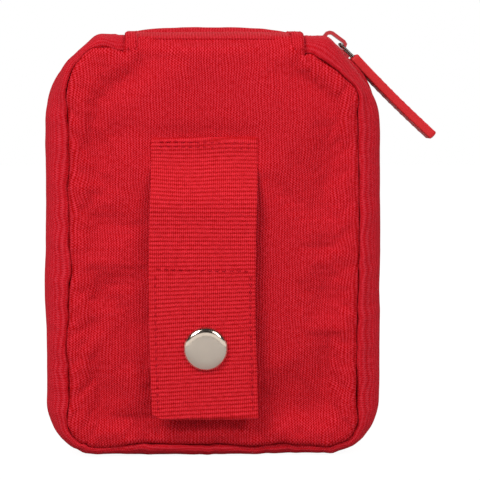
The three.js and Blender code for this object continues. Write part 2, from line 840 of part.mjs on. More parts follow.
function handleGeometry(side) {
  const { ringRadius, ringAcross, ringAlong } = SCISSORS;
  const thickness = 3.6;
  const ring = rollGeometry(ringRadius, ringRadius - 2.8, thickness);
  return ring.translate(side * ringAcross, 0, ringAlong);
}

// The pin joins the two blades and its heads hold them together.
function pinGeometry() {
  const [reach, head] = [SCISSORS.blade + GAP / 2 + GAP, 0.6];
  return turned(
    [
      [0, -reach - head],
      [2.4, -reach - head],
      [2.6, -reach],
      [1.2, -reach],
      [1.2, reach],
      [2.6, reach],
      [2.4, reach + head],
      [0, reach + head],
    ],
    16,
  );
}

function scissors() {
  const made = group(
    mesh("scissor_blade_fixed", bladeGeometry(1), STEEL),
    mesh("scissor_handle_fixed", handleGeometry(1), ORANGE_PLASTIC),
    mesh("scissor_blade_moving", bladeGeometry(-1), STEEL),
    mesh("scissor_handle_moving", handleGeometry(-1), ORANGE_PLASTIC),
    mesh("scissor_pin", pinGeometry(), NICKEL),
  );
  made.position.set(SCISSORS.x, SCISSORS.y, SCISSORS.z);
  return made;
}

// Two spring legs joined at the top, closing towards their tips.
function tweezersGeometry() {
  const [length, spread, thickness, width] = [76, 2.6, 0.7, 8];
  const outline = [
    [-spread, 20],
    [-0.9, length],
    [0.9, length],
    [spread, 20],
    [0.95, 0],
    [0.25, 0.2],
    [spread - thickness - 0.2, 20],
    [0.45, length - 9],
    [-0.45, length - 9],
    [thickness + 0.2 - spread, 20],
    [-0.25, 0.2],
    [-0.95, 0],
  ];
  return sideways(outline, width);
}

function contents() {
  const tapeX = -22;
  const tapeZ = 76.5;
  return group(
    pocket("back_pocket", -14.8, 80),
    scissors(),
    mesh("tweezers", tweezersGeometry(), STEEL, 22, -18.4, 12),
    mesh("gloves_packet", packetGeometry(66, 4.6, 40, 1.5), BLUE_NITRILE, 0, -18.2, 95.5),
    mesh("crepe_bandage", lyingRoll(12.3, 76), CREPE, 0, -1.3, 18),
    mesh("gauze_bandage", lyingRoll(10.8, 64), WHITE_FABRIC, 0, -2.7, 41.6),
    mesh("tape_core", rollGeometry(13, 11.8, 13), WHITE_PLASTIC, tapeX, -6.6, tapeZ),
    mesh("adhesive_tape", rollGeometry(21, 13 + GAP, 12.5), PAPER, tapeX, -6.6, tapeZ),
    mesh("foil_blanket", packetGeometry(44, 15, 66, 1.2), SILVER_FOIL, 25.5, -5.6, 55),
    mesh("antiseptic_wipe_1", packetGeometry(42, 3, 34, 1.6), PAPER, -23, -12, 99.5),
    mesh("antiseptic_wipe_2", packetGeometry(42, 3, 34, 1.6), PAPER, -23, -8.4, 99.5),
    pocket("lid_pocket", 14.6, 74),
    mesh("gauze_sachet_1", packetGeometry(50, 2.4, 52, 1.6), PAPER, -17, 17, 13),
    mesh("gauze_sachet_2", packetGeometry(50, 2.4, 52, 1.6), PAPER, -17, 19.8, 13),
    mesh("plaster_1", packetGeometry(19, 1.2, 74, 1.2), PAPER, 20, 16.6, 12),
    mesh("plaster_2", packetGeometry(19, 1.2, 74, 1.2), PAPER, 20, 18.6, 12),
    mesh("plaster_3", packetGeometry(14, 1.2, 70, 1.2), PAPER, 37, 16.6, 12),
  );
}

// A plain white cross on a green patch, sewn to the middle of the lid.
function firstAidSign() {
  const [size, arm, z] = [34, 24, 78];
  const face = FRONT_FACE + GAP;
  const across = slab(arm, 0.6, arm / 3, 0.6).translate(0, 0, -arm / 6);
  const down = slab(arm / 3, 0.6, arm, 0.6).translate(0, 0, -arm / 2);
  return group(
    mesh("sign_patch", slab(size, 0.9, size, 3), GREEN_PATCH, 0, face + 0.45, z - size / 2),
    mesh("sign_cross", join(across, down), WHITE_FABRIC, 0, face + 0.9 + GAP + 0.3, z),
  );
}

const kit = group(pouchShell(), beltStrap(), zipSlider(), contents(), firstAidSign());
kit.name = "first_aid_kit";

export default kit;
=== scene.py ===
"""Looks for the first aid kit: fabric, webbing, zip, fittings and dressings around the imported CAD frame."""

import json
import math

import bpy
import numpy as np
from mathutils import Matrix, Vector


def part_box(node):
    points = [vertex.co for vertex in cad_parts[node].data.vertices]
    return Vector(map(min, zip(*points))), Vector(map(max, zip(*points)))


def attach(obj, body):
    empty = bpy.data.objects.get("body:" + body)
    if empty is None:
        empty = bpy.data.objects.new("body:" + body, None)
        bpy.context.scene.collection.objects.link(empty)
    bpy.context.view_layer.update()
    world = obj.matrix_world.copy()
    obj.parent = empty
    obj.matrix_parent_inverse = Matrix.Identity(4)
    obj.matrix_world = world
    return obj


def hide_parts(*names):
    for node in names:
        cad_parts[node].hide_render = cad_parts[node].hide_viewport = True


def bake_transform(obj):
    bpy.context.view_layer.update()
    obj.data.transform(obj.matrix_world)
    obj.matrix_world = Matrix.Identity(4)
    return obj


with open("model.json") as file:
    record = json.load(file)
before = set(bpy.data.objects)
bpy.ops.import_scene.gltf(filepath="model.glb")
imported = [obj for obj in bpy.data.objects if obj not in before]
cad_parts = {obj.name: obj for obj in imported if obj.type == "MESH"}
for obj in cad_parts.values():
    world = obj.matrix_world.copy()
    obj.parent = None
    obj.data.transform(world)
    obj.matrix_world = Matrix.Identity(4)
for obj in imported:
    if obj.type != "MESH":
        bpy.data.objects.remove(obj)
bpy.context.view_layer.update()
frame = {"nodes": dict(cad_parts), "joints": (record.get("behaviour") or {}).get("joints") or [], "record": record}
BODY_OF = {node: body for body, nodes in frame["record"]["behaviour"]["bodies"].items() for node in nodes}
SLOT_OF = {row["node"]: row["material_slot"] for row in frame["record"]["subparts"]}
JOINTS = {joint["name"]: joint for joint in frame["joints"]}

# ---------- dimensions in mm, read from the frame where it holds them ----------

MM = 0.001


def box_mm(node):
    """A node's lowest and highest corners, its middle and its half sizes."""
    low, high = (np.array(corner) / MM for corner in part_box(node))
    return low, high, (low + high) / 2, (high - low) / 2


HALF_WIDTH, _, HEIGHT = box_mm("back_gusset")[1]
BACK_FACE = box_mm("back_panel")[0][1]
LID_FACE = box_mm("front_panel")[1][1]
CREASE_Y = (box_mm("bridge_back")[1][1] + box_mm("bridge_front")[0][1]) / 2
BRIDGE_HALF = box_mm("bridge_back")[1][0]
TAPE_EDGE = 6.0  # from the zip's middle to each gusset's edge
SEAM_Y, SEAM_HALF, SEAM_BOTTOM, SEAM_TOP = 22.0, 49.7, 5.2, 142.4
CORNER_ACROSS, CORNER_DOWN = 18.8, 16.1  # the slope that cuts each upper corner
HEM = 4.6  # the width of the bridge's folded ends
BACK_GAP = -BACK_FACE + 0.3  # from the frame's middle to the back of what lies on the panel


# ---------- smooth seeded noise ----------

rng = np.random.default_rng(7)
LATTICE = [rng.uniform(-1, 1, (256, 256)) for _ in range(6)]


def between(corner, s, t):
    """A value inside a cell, from the values at its four corners."""
    low = corner(0, 0) * (1 - s) + corner(1, 0) * s
    high = corner(0, 1) * (1 - s) + corner(1, 1) * s
    return low * (1 - t) + high * t


def ripple(u, v, size, layer=0, stretch=1.0):
    """Smooth noise between -1 and 1 over a plane, with features of about `size` mm."""
    a, b = np.broadcast_arrays(np.asarray(u) / size + 60.37, np.asarray(v) / (size * stretch) + 31.71)
    i, j = np.floor(a).astype(int), np.floor(b).astype(int)
    corner = lambda di, dj: LATTICE[layer][(i + di) % 256, (j + dj) % 256]
    return between(corner, smooth(0, 1, a - i), smooth(0, 1, b - j))


def smooth(low, high, x):
    t = np.clip((np.asarray(x, float) - low) / (high - low), 0, 1)
    return t * t * (3 - 2 * t)


def off_ends(s, width):
    """0 at both ends of a run, by length along it, and 1 from `width` inside them."""
    return smooth(0, width, np.minimum(s, s[-1] - s))


def hill(x, at, width):
    """A smooth bump of height 1."""
    return np.exp(-(((x - at) / width) ** 2))


def joined(*parts):
    """Arrays or single values side by side, as the last axis of one array."""
    return np.stack(np.broadcast_arrays(*parts), -1)


# ---------- meshes ----------


def cells(index):
    """Quads between neighbours in a table of point numbers."""
    return np.stack([index[:-1, :-1], index[:-1, 1:], index[1:, 1:], index[1:, :-1]], -1).reshape(-1, 4)


def grid_faces(rows, columns, first=0, wrap=False, flip=False):
    """Quads of a grid whose points run along a row first."""
    index = first + np.arange(rows * columns).reshape(rows, columns)
    quads = cells(np.concatenate([index, index[:, :1]], 1) if wrap else index)
    return quads[:, ::-1] if flip else quads


def piece(name, points, faces, look, uv=None, replaces="", body=None, slot=None, blended=False):
    """A mesh object from points in mm. `uv` holds the cloth coordinates in mm, as two arrays.

    A piece that replaces a CAD node hides it, and rides on its body unless it is marked blended.
    """
    mesh = bpy.data.meshes.new(name)
    points = np.asarray(points, float).reshape(-1, 3) * MM
    mesh.from_pydata(points.tolist(), [], [list(map(int, f)) for f in faces])
    if uv is not None:
        pairs = joined(*uv).reshape(-1, 2)
        index = np.empty(len(mesh.loops), int)
        mesh.loops.foreach_get("vertex_index", index)
        mesh.uv_layers.new(name="cloth").data.foreach_set("uv", pairs.astype(np.float32)[index].ravel())
    mesh.polygons.foreach_set("use_smooth", [True] * len(mesh.polygons))
    mesh.update()
    mesh.materials.append(look)
    made = bpy.data.objects.new(name, mesh)
    bpy.context.scene.collection.objects.link(made)
    for node in replaces.split():
        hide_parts(node)
        body, slot = BODY_OF[node], SLOT_OF[node]
    if body and not blended:
        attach(made, body)
    return made


def thicken(made, thickness, offset=-1.0):
    modifier = made.modifiers.new("thickness", "SOLIDIFY")
    modifier.thickness = thickness * MM
    modifier.offset = offset


def blend_over(made):
    """Bakes a piece's placing into its points."""
    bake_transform(made)


def blend_over_hinge(made):
    blend_over(made)


def unit(vectors):
    return vectors / np.linalg.norm(vectors, axis=-1, keepdims=True)


def carried(path, side, across, out, loop=False):
    """A section carried along a path: a grid of points, a row for each point of the path."""
    tangent = unit(np.roll(path, -1, 0) - np.roll(path, 1, 0) if loop else np.gradient(path, axis=0))
    side = np.broadcast_to(np.asarray(side, float), path.shape)
    away = unit(np.cross(tangent, side))
    side = unit(side - (side * tangent).sum(-1, keepdims=True) * tangent)
    return path[:, None] + side[:, None] * across[..., None] + away[:, None] * out[..., None]


def solid_faces(rows, columns, loop=False):
    """Faces round a grid whose rows are closed sections, with its two ends closed unless it is a loop."""
    faces = [list(f) for f in grid_faces(rows, columns, wrap=True)]
    last = (rows - 1) * columns
    if loop:
        return faces + [[last + j, last + (j + 1) % columns, (j + 1) % columns, j] for j in range(columns)]
    return faces + [list(range(columns))[::-1], list(range(last, last + columns))]


def volume(points, faces):
    """Six times the volume inside the quads: negative where they face inwards."""
    a, b, c, d = (points[[f[k] for f in faces if len(f) == 4]] for k in range(4))
    return (np.cross(a, b) * c).sum() + (np.cross(a, c) * d).sum()


def solid(name, grid, look, uv=None, replaces="", loop=False, **rest):
    """A closed piece from a grid of sections, turned so that its faces point outwards."""
    faces = solid_faces(*grid.shape[:2], loop)
    if volume(grid.reshape(-1, 3), faces) < 0:
        faces = [f[::-1] for f in faces]
    return piece(name, grid, faces, look, uv, replaces, **rest)


def circle(radius, count):
    """The two coordinates of points round a circle."""
    a = 2 * math.pi * np.arange(count) / count
    return radius * np.cos(a), radius * np.sin(a)


def band_section(width, thickness, columns):
    """Once round a flat band's section, with round edges."""
    r = thickness / 2
    flat = width / 2 - r
    face = np.linspace(-flat, flat, columns)
    a = np.radians([60, 30, 0, -30, -60])
    across = np.concatenate([face, flat + r * np.cos(a), face[::-1], -flat - r * np.cos(a)])
    out = np.concatenate([np.full(columns, r), r * np.sin(a), np.full(columns, -r), -r * np.sin(a)])
    return across, out


def slab_section(width, thickness, radius, columns, rows):
    """Once round a block's section, with small round corners."""
    w, t = width / 2 - radius, thickness / 2 - radius
    corners = []
    for start, x, y in ((90, w, t), (0, w, -t), (-90, -w, -t), (-180, -w, t)):
        a = np.radians(np.linspace(start - 6, start - 84, 5))
        corners.append(joined(x + radius * np.cos(a), y + radius * np.sin(a)))
    top = joined(np.linspace(-w, w, columns), thickness / 2)
    side = joined(width / 2, np.linspace(t, -t, rows))
    return np.concatenate([top, corners[0], side, corners[1], -top, corners[2], -side, corners[3]]).T


def lathe(name, profile, centre, replaces, segments=96):
    """A nickel piece turned about Y through `centre`, from [radius, place along Y]."""
    radius, y = np.array(profile, float).T[..., None]
    u, v = circle(np.maximum(radius, 0.02), segments)
    return solid(name, joined(u, y, v) + centre, NICKEL, (u, v), replaces)


def lengths(points):
    return np.concatenate([[0], np.cumsum(np.linalg.norm(np.diff(points, axis=0), axis=1))])


def resampled(points, steps):
    """The same path in `steps` equal steps, without its last point."""
    length = lengths(points)
    return at_lengths(np.linspace(0, length[-1], steps + 1)[:-1], length, points)


def at_lengths(at, length, points):
    return joined(*(np.interp(at, length, column) for column in points.T))


def rounded_path(points, steps):
    """A smooth path through points, in equal steps."""
    points = np.asarray(points, float)
    p = np.concatenate([[2 * points[0] - points[1]], points, [2 * points[-1] - points[-2]]])
    t = np.linspace(0, 1, 12, endpoint=False)[:, None]
    parts = []
    for a, b, c, d in zip(p, p[1:], p[2:], p[3:]):
        parts.append(0.5 * (2 * b + (c - a) * t + (2 * a - 5 * b + 4 * c - d) * t**2
                            + (3 * b - a - 3 * c + d) * t**3))
    return np.concatenate([resampled(np.concatenate(parts + [points[-1:]]), steps), points[-1:]])


def stitches(name, line, away, body=None, pitch=2.5, radius=0.24, lift=0.12):
    """A row of stitches along a line on cloth. Each one dives into the cloth at its ends."""
    gap, rows, columns = 0.7, 7, 6  # from one stitch to the next, along a stitch and round it
    away = np.broadcast_to(np.asarray(away, float), line.shape)
    length = lengths(line)
    count = max(1, int(length[-1] // pitch))
    start = (length[-1] - count * pitch) / 2 + pitch * np.arange(count)
    t = np.linspace(0, 1, rows)
    at = start[:, None] + gap / 2 + (pitch - gap) * t
    normal = unit(at_lengths(at, length, away))
    arch = np.sin(math.pi * t) ** 0.5
    centre = at_lengths(at, length, line) + normal * (lift - 0.5 * (1 - arch))[None, :, None]
    side = unit(np.cross(unit(np.gradient(centre, axis=1)), normal))
    across, out = circle(1.0, columns)
    size = radius * (0.45 + 0.55 * arch)[None, :, None, None]
    section = side[:, :, None] * across[:, None] + normal[:, :, None] * out[:, None]
    each = solid_faces(rows, columns)
    faces = [[i + rows * columns * k for i in f[::-1]] for k in range(count) for f in each]
    uv = np.arange(columns) * 0.2, at[:, :, None]
    return piece(name, centre[:, :, None] + size * section, faces, THREAD, uv, body=body, slot="red_webbing")


# ---------- materials ----------


class Nodes:
    """Builds a node tree from calls: a socket as an input is linked, anything else is its value."""

    def __init__(self, holder):
        self.holder = holder
        holder.use_nodes = True
        self.tree = holder.node_tree

    def set(self, node, name, value):
        socket = node.inputs[name]
        if isinstance(value, bpy.types.NodeSocket):
            self.tree.links.new(value, socket)
        else:
            socket.default_value = value

    def add(self, kind, inputs=None, **settings):
        node = self.tree.nodes.new("ShaderNode" + kind)
        for key, value in settings.items():
            setattr(node, key, value)
        for name, value in (inputs or {}).items():
            self.set(node, name, value)
        return node

    def math(self, operation, a, b=0.0, clamp=False):
        return self.add("Math", {0: a, 1: b}, operation=operation, use_clamp=clamp).outputs[0]

    def times(self, a, b, clamp=False):
        return self.math("MULTIPLY", a, b, clamp)

    def plus(self, a, b, clamp=False):
        return self.math("ADD", a, b, clamp)

    def minus(self, a, b):
        return self.math("SUBTRACT", a, b)

    def noise(self, vector, scale, detail=2.0, roughness=0.5):
        inputs = {"Vector": vector, "Scale": scale, "Detail": detail, "Roughness": roughness}
        return self.add("TexNoise", inputs).outputs["Fac"]

    def stretch(self, vector, factors):
        return self.add("VectorMath", {0: vector, 1: factors}, operation="MULTIPLY").outputs[0]

    def mix(self, factor, a, b):
        """A mix of two colours, which are the mix node's sockets 6, 7 and 2."""
        return self.add("Mix", {0: factor, 6: a, 7: b}, data_type="RGBA").outputs[2]

    def shade(self, factor, a, b):
        """A mix of two shaders."""
        return self.add("MixShader", {0: factor, 1: a.outputs[0], 2: b.outputs[0]})

    def wave(self, value, pitch):
        """A sine of a length in mm, from -1 to 1."""
        return self.math("SINE", self.times(value, 2 * math.pi / pitch))

    def bump(self, height, depth):
        return self.add("Bump", {"Height": height, "Distance": depth * MM}).outputs[0]

    def cloth(self):
        """The piece's own cloth coordinates in mm, then the two on their own."""
        vector = self.add("UVMap", uv_map="cloth").outputs[0]
        split = self.add("SeparateXYZ", {0: vector})
        return vector, split.outputs[0], split.outputs[1]

    def principled(self, **values):
        """Sets the surface, and returns the finished material."""
        for name, value in values.items():
            self.set(self.tree.nodes["Principled BSDF"], name.replace("_", " "), value)
        return self.holder

    def fabric(self, base, colour, height, depth, roughness, sheen, specular, sheen_roughness=0.5):
        return self.principled(Base_Color=base, Roughness=roughness, Normal=self.bump(height, depth),
                               Sheen_Weight=sheen, Sheen_Roughness=sheen_roughness,
                               Sheen_Tint=linear(*colour), Specular_IOR_Level=specular)


def material_nodes(name):
    return Nodes(bpy.data.materials.new(name))


def linear(*colour):
    """A linear colour from sRGB values of 0 to 255."""
    to = lambda c: c / 12.92 if c <= 0.04045 else ((c + 0.055) / 1.055) ** 2.4
    return tuple(to(c / 255) for c in colour) + (1.0,)


def scaled(colour, factor):
    return tuple(c * factor for c in colour[:3]) + (1.0,)


def toned(colour, spread):
    """A colour made darker or lighter in sRGB; shine adds a little less red than green and blue."""
    return linear(*(min(max(c + share * spread, 0), 255) for c, share in zip(colour, (0.6, 1.1, 1.1))))


def woven_look(name, colour, pitch=0.98, depth=0.08, spread=24, roughness=0.9, sheen=0.05):
    """Plain-woven cloth with fine upright ribs, whose threads follow the piece's cloth coordinates. Its colour
    carries the weave's pattern and slub grain, with painted glints on the threads and painted shade between them.
    """
    n = material_nodes(name)
    cloth, u, v = n.cloth()
    wobble = n.times(n.noise(cloth, 0.09, 1.0), 2.2)
    u, v = n.plus(u, wobble), n.plus(v, wobble)
    dots = n.times(n.wave(u, pitch * 1.15), n.wave(v, pitch * 0.82))
    threads = n.plus(n.times(n.wave(u, pitch), 0.85), n.times(dots, 1.6))
    slub = n.noise(n.stretch(cloth, (1.3, 0.55, 1.0)), 1.2, 4.0, 0.75)
    seen = n.times(threads, n.plus(n.times(n.noise(cloth, 0.16, 1.0), 1.1), 0.3))
    grain = n.times(n.minus(slub, 0.5), 2.4)
    # painted light: the threads' pattern lightens the colour as painted glints on the threads and darkens it as
    # painted shade between them; the slubs are the cloth's own grain
    tone = n.plus(n.times(seen, 0.5), n.plus(grain, 0.5), clamp=True)
    height = n.plus(n.times(threads, 0.5), n.times(slub, 0.7))
    base = n.mix(n.math("POWER", tone, 1.5), toned(colour, -spread), toned(colour, spread))
    worn = n.mix(n.noise(cloth, 0.045, 3.0), toned(colour, -6), toned(colour, 6))
    return n.fabric(n.mix(0.25, base, worn), colour, height, depth, roughness, sheen, 0.08)


def webbing_look(name, colour, rib=1.4, wale=0.7, spread=36):
    """Ribbed webbing: a painted highlight along each rib and painted shade in the gaps between the ribs, with the
    floats across each rib lightened as painted glints.
    """
    n = material_nodes(name)
    cloth, u, v = n.cloth()
    jitter = n.times(n.noise(n.stretch(cloth, (0.25, 1.0, 1.0)), 0.6, 2.0), 0.25)
    # painted light: lighter along each rib's top and darker in the grooves between the ribs, in step with the
    # ribs' geometry
    ridge = n.math("POWER", n.math("ABSOLUTE", n.wave(n.plus(v, jitter), rib * 2)), 1.6)
    # the floats are the weave's pattern; their lighter share is a painted glint
    floats = n.times(n.wave(n.plus(u, jitter), wale), 0.8)
    uneven = n.noise(n.stretch(cloth, (0.5, 1.6, 1.0)), 0.8, 4.0, 0.75)
    share = n.plus(n.times(n.noise(cloth, 0.09, 2.0), 0.9), 0.1)
    tone = n.times(n.minus(ridge, 0.45), share)
    tone = n.plus(n.plus(tone, n.times(floats, 0.38)), n.times(n.minus(uneven, 0.5), 1.3))
    tone = n.math("POWER", n.plus(tone, 0.48, clamp=True), 1.3)
    base = n.mix(tone, toned(colour, -spread), toned(colour, spread))
    height = n.plus(n.times(floats, 0.8), n.times(n.noise(cloth, 3.0, 2.0, 0.7), 0.7))
    return n.fabric(base, colour, height, 0.12, 0.75, 0.06, 0.12, 0.4)


def tape_look(name, colour, spread=20):
    """Narrow woven tape in a herringbone twill."""
    n = material_nodes(name)
    cloth, u, v = n.cloth()
    slant = n.math("ABSOLUTE", n.wave(v, 5.2))
    twill = n.wave(n.plus(u, n.times(slant, 1.6)), 0.9)
    tone = n.plus(n.times(twill, 0.3), n.noise(cloth, 1.4, 3.0, 0.6), clamp=True)
    base = n.mix(tone, toned(colour, -spread), toned(colour, spread))
    return n.fabric(base, colour, twill, 0.06, 0.85, 0.05, 0.12)


def moulded_look(name, colour, roughness=0.45, grain=0.03, scale=2.2, scuff=0.12, coat=0.0, metallic=0.0,
                 streak=(1.0, 1.0, 1.0), specular=0.5):
    """Plastic, rubber, paint or metal with a fine grain, uneven gloss and light scuffs."""
    n = material_nodes(name)
    place = n.stretch(n.add("TexCoord").outputs["Object"], (1 / MM, 1 / MM, 1 / MM))
    fine = n.noise(n.stretch(place, streak), scale, 4.0, 0.65)
    worn = n.times(n.minus(n.noise(n.stretch(place, streak), 0.7, 6.0, 0.75), 0.55), 5.0, clamp=True)
    base = n.mix(n.noise(place, 0.13, 3.0, 0.6), scaled(colour, 0.92), scaled(colour, 1.07))
    base = n.mix(n.times(worn, scuff), base, scaled(colour, 1.5))
    gloss = n.plus(n.times(fine, 0.22), roughness - 0.11, clamp=True)
    return n.principled(Base_Color=base, Roughness=gloss, Metallic=metallic, Normal=n.bump(fine, grain),
                        Coat_Weight=coat, Coat_Roughness=0.15, Specular_IOR_Level=specular)


def net_look(name, colour, pitch=2.24):
    """Open knitted net, with real gaps to see through."""
    n = material_nodes(name)
    cloth, u, v = n.cloth()
    holes = n.times(n.wave(n.plus(u, v), pitch), n.wave(n.minus(u, v), pitch))
    thread = n.minus(1.0, n.math("GREATER_THAN", holes, 0.12))
    base = n.mix(n.noise(cloth, 2.0, 2.0), scaled(colour, 0.6), scaled(colour, 1.6))
    return n.principled(Base_Color=base, Roughness=0.85, Alpha=thread, Normal=n.bump(holes, 0.15))


def crinkled_look(name, colour, roughness=0.9, scale=0.5, depth=0.25, metallic=0.0, sheen=0.0,
                  stretch=(1, 1, 1), contrast=0.08):
    """Foil, film, paper or crepe: sharp crinkles over a soft mottle."""
    n = material_nodes(name)
    place = n.cloth()[0]
    crease = n.noise(n.stretch(place, stretch), scale, 6.0, 0.6)
    fold = n.math("ABSOLUTE", n.minus(crease, 0.5))
    height = n.plus(n.times(fold, 2.0), n.times(n.noise(place, scale * 5, 3.0, 0.6), 0.25))
    # painted shade: darker along the crease lines, lighter away from them
    base = n.mix(n.times(fold, 3.0, True), scaled(colour, 1 - contrast), scaled(colour, 1 + contrast))
    return n.principled(Base_Color=base, Roughness=roughness, Metallic=metallic, Sheen_Weight=sheen,
                        Normal=n.bump(height, depth), Specular_IOR_Level=0.4)


BODY_CLOTH = woven_look("body_cloth", (198, 6, 22), spread=44)
GUSSET_CLOTH = woven_look("gusset_cloth", (197, 26, 40), spread=22, roughness=0.8, sheen=0.12)
WEBBING = webbing_look("webbing", (208, -6, 9), spread=46)
THREAD = woven_look("thread", (196, 22, 36), pitch=0.35, depth=0.03, spread=16)
ZIP_TAPE = tape_look("zip_tape", (158, 16, 28))
COIL = moulded_look("coil", linear(170, 22, 34), roughness=0.4, specular=0.3)
ENAMEL = moulded_look("red_enamel_paint", linear(186, 24, 36), roughness=0.3, coat=0.3, scuff=0.1)
RUBBER = moulded_look("red_rubber_grain", linear(208, 34, 40), roughness=0.55, grain=0.05, scuff=0.06,
                      specular=0.25)
NICKEL = moulded_look("satin_nickel", linear(227, 212, 197), roughness=0.14, metallic=1.0, grain=0.005,
                      scuff=0.05, scale=0.8)
STEEL = moulded_look("brushed_steel", linear(176, 174, 170), roughness=0.3, metallic=1.0, grain=0.01,
                     streak=(6, 6, 0.3))
WIRE = moulded_look("steel_wire", linear(120, 116, 110), roughness=0.35, metallic=1.0, grain=0.01)
GREEN_CLOTH = woven_look("green_cloth", (24, 112, 62), pitch=0.9, spread=16)
WHITE_THREAD = webbing_look("white_thread", (226, 224, 216), rib=0.9, wale=0.45, spread=14)
GREEN_THREAD = webbing_look("green_thread", (30, 126, 72), rib=0.9, wale=0.45, spread=20)
NET = net_look("black_net", (0.02, 0.02, 0.024))
ELASTIC = webbing_look("black_elastic_rib", (36, 37, 42), rib=1.1, wale=0.8, spread=14)
BINDING = tape_look("binding_tape", (38, 39, 44), spread=12)


# ---------- outlines ----------

# How many steps each stretch of half an outline takes, so that the points of the two outlines pair up.
BEND_STEPS, SIDE_STEPS, CORNER_STEPS, BOTTOM_STEPS = 44, 100, 26, 46


def along(start, end, steps):
    t = np.arange(steps)[:, None] / steps
    return np.array(start) * (1 - t) + np.array(end) * t


def arc(centre, radius, start, end, steps):
    a = np.radians(start + (end - start) * np.arange(steps) / steps)
    return joined(centre[0] + radius * np.cos(a), centre[1] + radius * np.sin(a))


def outline(bend, side_top, low, radius):
    """A whole outline from its upper right bend, the top of its right side and its lower corners."""
    half = side_top[0]
    right = np.concatenate([
        bend,
        along(side_top, [half, low + radius], SIDE_STEPS),
        arc([half - radius, low + radius], radius, 0, -90, CORNER_STEPS),
        along([half - radius, low], [0, low], BOTTOM_STEPS),
        [[0, low]],
    ])
    return np.concatenate([right, (right[:-1] * [-1, 1])[::-1]])


def outer_outline():
    """The pouch's fullest outline, from the bridge's right end clockwise to its left end."""
    slope = math.atan2(CORNER_DOWN, CORNER_ACROSS)
    d = np.array([math.cos(slope), -math.sin(slope)])
    top_radius, side_radius, bottom_radius = 5.0, 24.0, 19.0
    start = np.array([HALF_WIDTH - CORNER_ACROSS, HEIGHT])
    end = np.array([HALF_WIDTH, HEIGHT - CORNER_DOWN])
    top_cut = top_radius * math.tan(slope / 2)
    side_cut = side_radius * math.tan((math.pi / 2 - slope) / 2)
    side_top = end - [0, side_cut]
    degrees = math.degrees(slope)
    shoulder = np.concatenate([
        [[BRIDGE_HALF, HEIGHT]],
        arc(start - [top_cut, top_radius], top_radius, 90, 90 - degrees, 16),
        along(start + d * top_cut, end - d * side_cut, 10),
        arc(side_top - [side_radius, 0], side_radius, 90 - degrees, 0, 16),
        [side_top],
    ])
    return outline(resampled(shoulder, BEND_STEPS), side_top, 0.0, bottom_radius)


def seam_outline():
    """The seam between a panel and its gusset, with points that pair with the outer outline's."""
    top_radius, bottom_radius = 22.0, 11.0
    centre = [SEAM_HALF - top_radius, SEAM_TOP - top_radius]
    first = math.degrees(math.acos((BRIDGE_HALF - centre[0]) / top_radius))
    bend = arc(centre, top_radius, first, 0, BEND_STEPS)
    return outline(bend, [SEAM_HALF, centre[1]], SEAM_BOTTOM, bottom_radius)


OUTER = outer_outline()
SEAM = seam_outline()
ARC = lengths(OUTER)
TANGENT = unit(np.gradient(OUTER, axis=0))
INWARD = TANGENT[:, ::-1] * [1, -1]  # the outline runs clockwise
SEAMWARD = unit(SEAM - OUTER)


def side_layers(side):
    """Noise layers, so that the back and the lid don't crease alike."""
    return (0, 2, 4) if side < 0 else (1, 3, 5)


def wavy_seam(side):
    """The seam as it is sewn: it wanders by a fraction of a millimetre."""
    layer = side_layers(side)[0]
    x, z = SEAM.T
    wander = (0.8 * ripple(ARC, 3.0, 13, layer) + 0.4 * ripple(ARC, 9.0, 5.5, layer)) * off_ends(ARC, 6)
    if side < 0:  # the back's corners are sewn squarer or rounder than a plain arc: [mm out, place, spread]
        wander = wander * (1 + 0.9 * smooth(118, 130, z)) - 1.0 * smooth(70, 15, z) * (x < -44)
        for out, at_x, at_z, spread in ((4.0, -43.3, 136, 90), (-2.6, 38, 138, 160), (-1.4, -33, 142, 25),
                                        (2.2, -47, 8, 70), (2.4, 47, 8, 50)):
            wander = wander - out * np.exp(-((x - at_x) ** 2 + (z - at_z) ** 2) / spread)
    return SEAM + SEAMWARD * wander[:, None]


# ---------- the shell: panels, bridge and gussets ----------

GROOVE = 2.7  # how deep the seams are drawn in
PRESSURE, FRAMES = 1.4, 24  # of the cloth simulation
BRIDGE_COLUMNS, BRIDGE_ROWS = 90, 62
BRIDGE_LEFT = 0.7 - BRIDGE_HALF  # the left hem is sewn a little further in than the right one
PANEL_DEPTH = abs(BACK_FACE)
BRIDGE_BASE, BRIDGE_RISE, BRIDGE_POWER = 137.0, 12.7, 3.2
SHOULDER = BRIDGE_BASE + 9.0  # where the panels end and the bridge begins


def folds(x, z, side):
    """Soft folds and hollows of a panel, in mm outwards."""
    layer = side_layers(side)[1]
    broad = 0.8 * ripple(x, z, 30, layer, 2.2) + 0.45 * ripple(x, z, 12, layer, 3.0)
    swell = 1.1 * hill(x, -46, 3.6) * hill(z, 69, 8) * (1 + 0.5 * ripple(z, 0.0, 2.6, layer))
    dimples = (hill(x, -18.5, 6.5) + hill(x, 13.5, 6.5)) * hill(z, 140.5, 3.6)
    return broad + 0.12 * ripple(x + z * 0.2, z, 6.0, layer, 2.4) + swell - 1.1 * dimples


def puckers(s, distance, side):
    """Gathers that run away from a seam, by place along it and distance from it."""
    layer = side_layers(side)[2]
    gather = ripple(s, distance * 0.3, 4.6, layer) + 0.7 * ripple(s, distance * 0.3, 2.6, layer)
    return 0.5 * gather * np.exp(-distance / 4.5) * smooth(0, 0.7, distance)


def drawn_in():
    """How deep the seam is drawn in, along it: less on the two sides, where the cloth swells over it."""
    x, z = np.abs(SEAM[:, 0]), SEAM[:, 1]
    swollen = smooth(14, 34, z) * smooth(124, 104, z) * (x > SEAM_HALF - 4)
    return GROOVE * (1 - swollen * (0.72 + 0.2 * ripple(ARC, 0.0, 14, 1)))


def crown(distance, groove=0.0):
    """How far a panel stands out past its seam, by distance from the seam."""
    t = np.clip(distance / 7.0, 0, 1)
    lip = smooth(0, 1.0, distance)
    return (PANEL_DEPTH - SEAM_Y) * (0.55 * lip + 0.45 * np.sqrt(1 - (1 - t) ** 2)) - groove * (1 - lip)


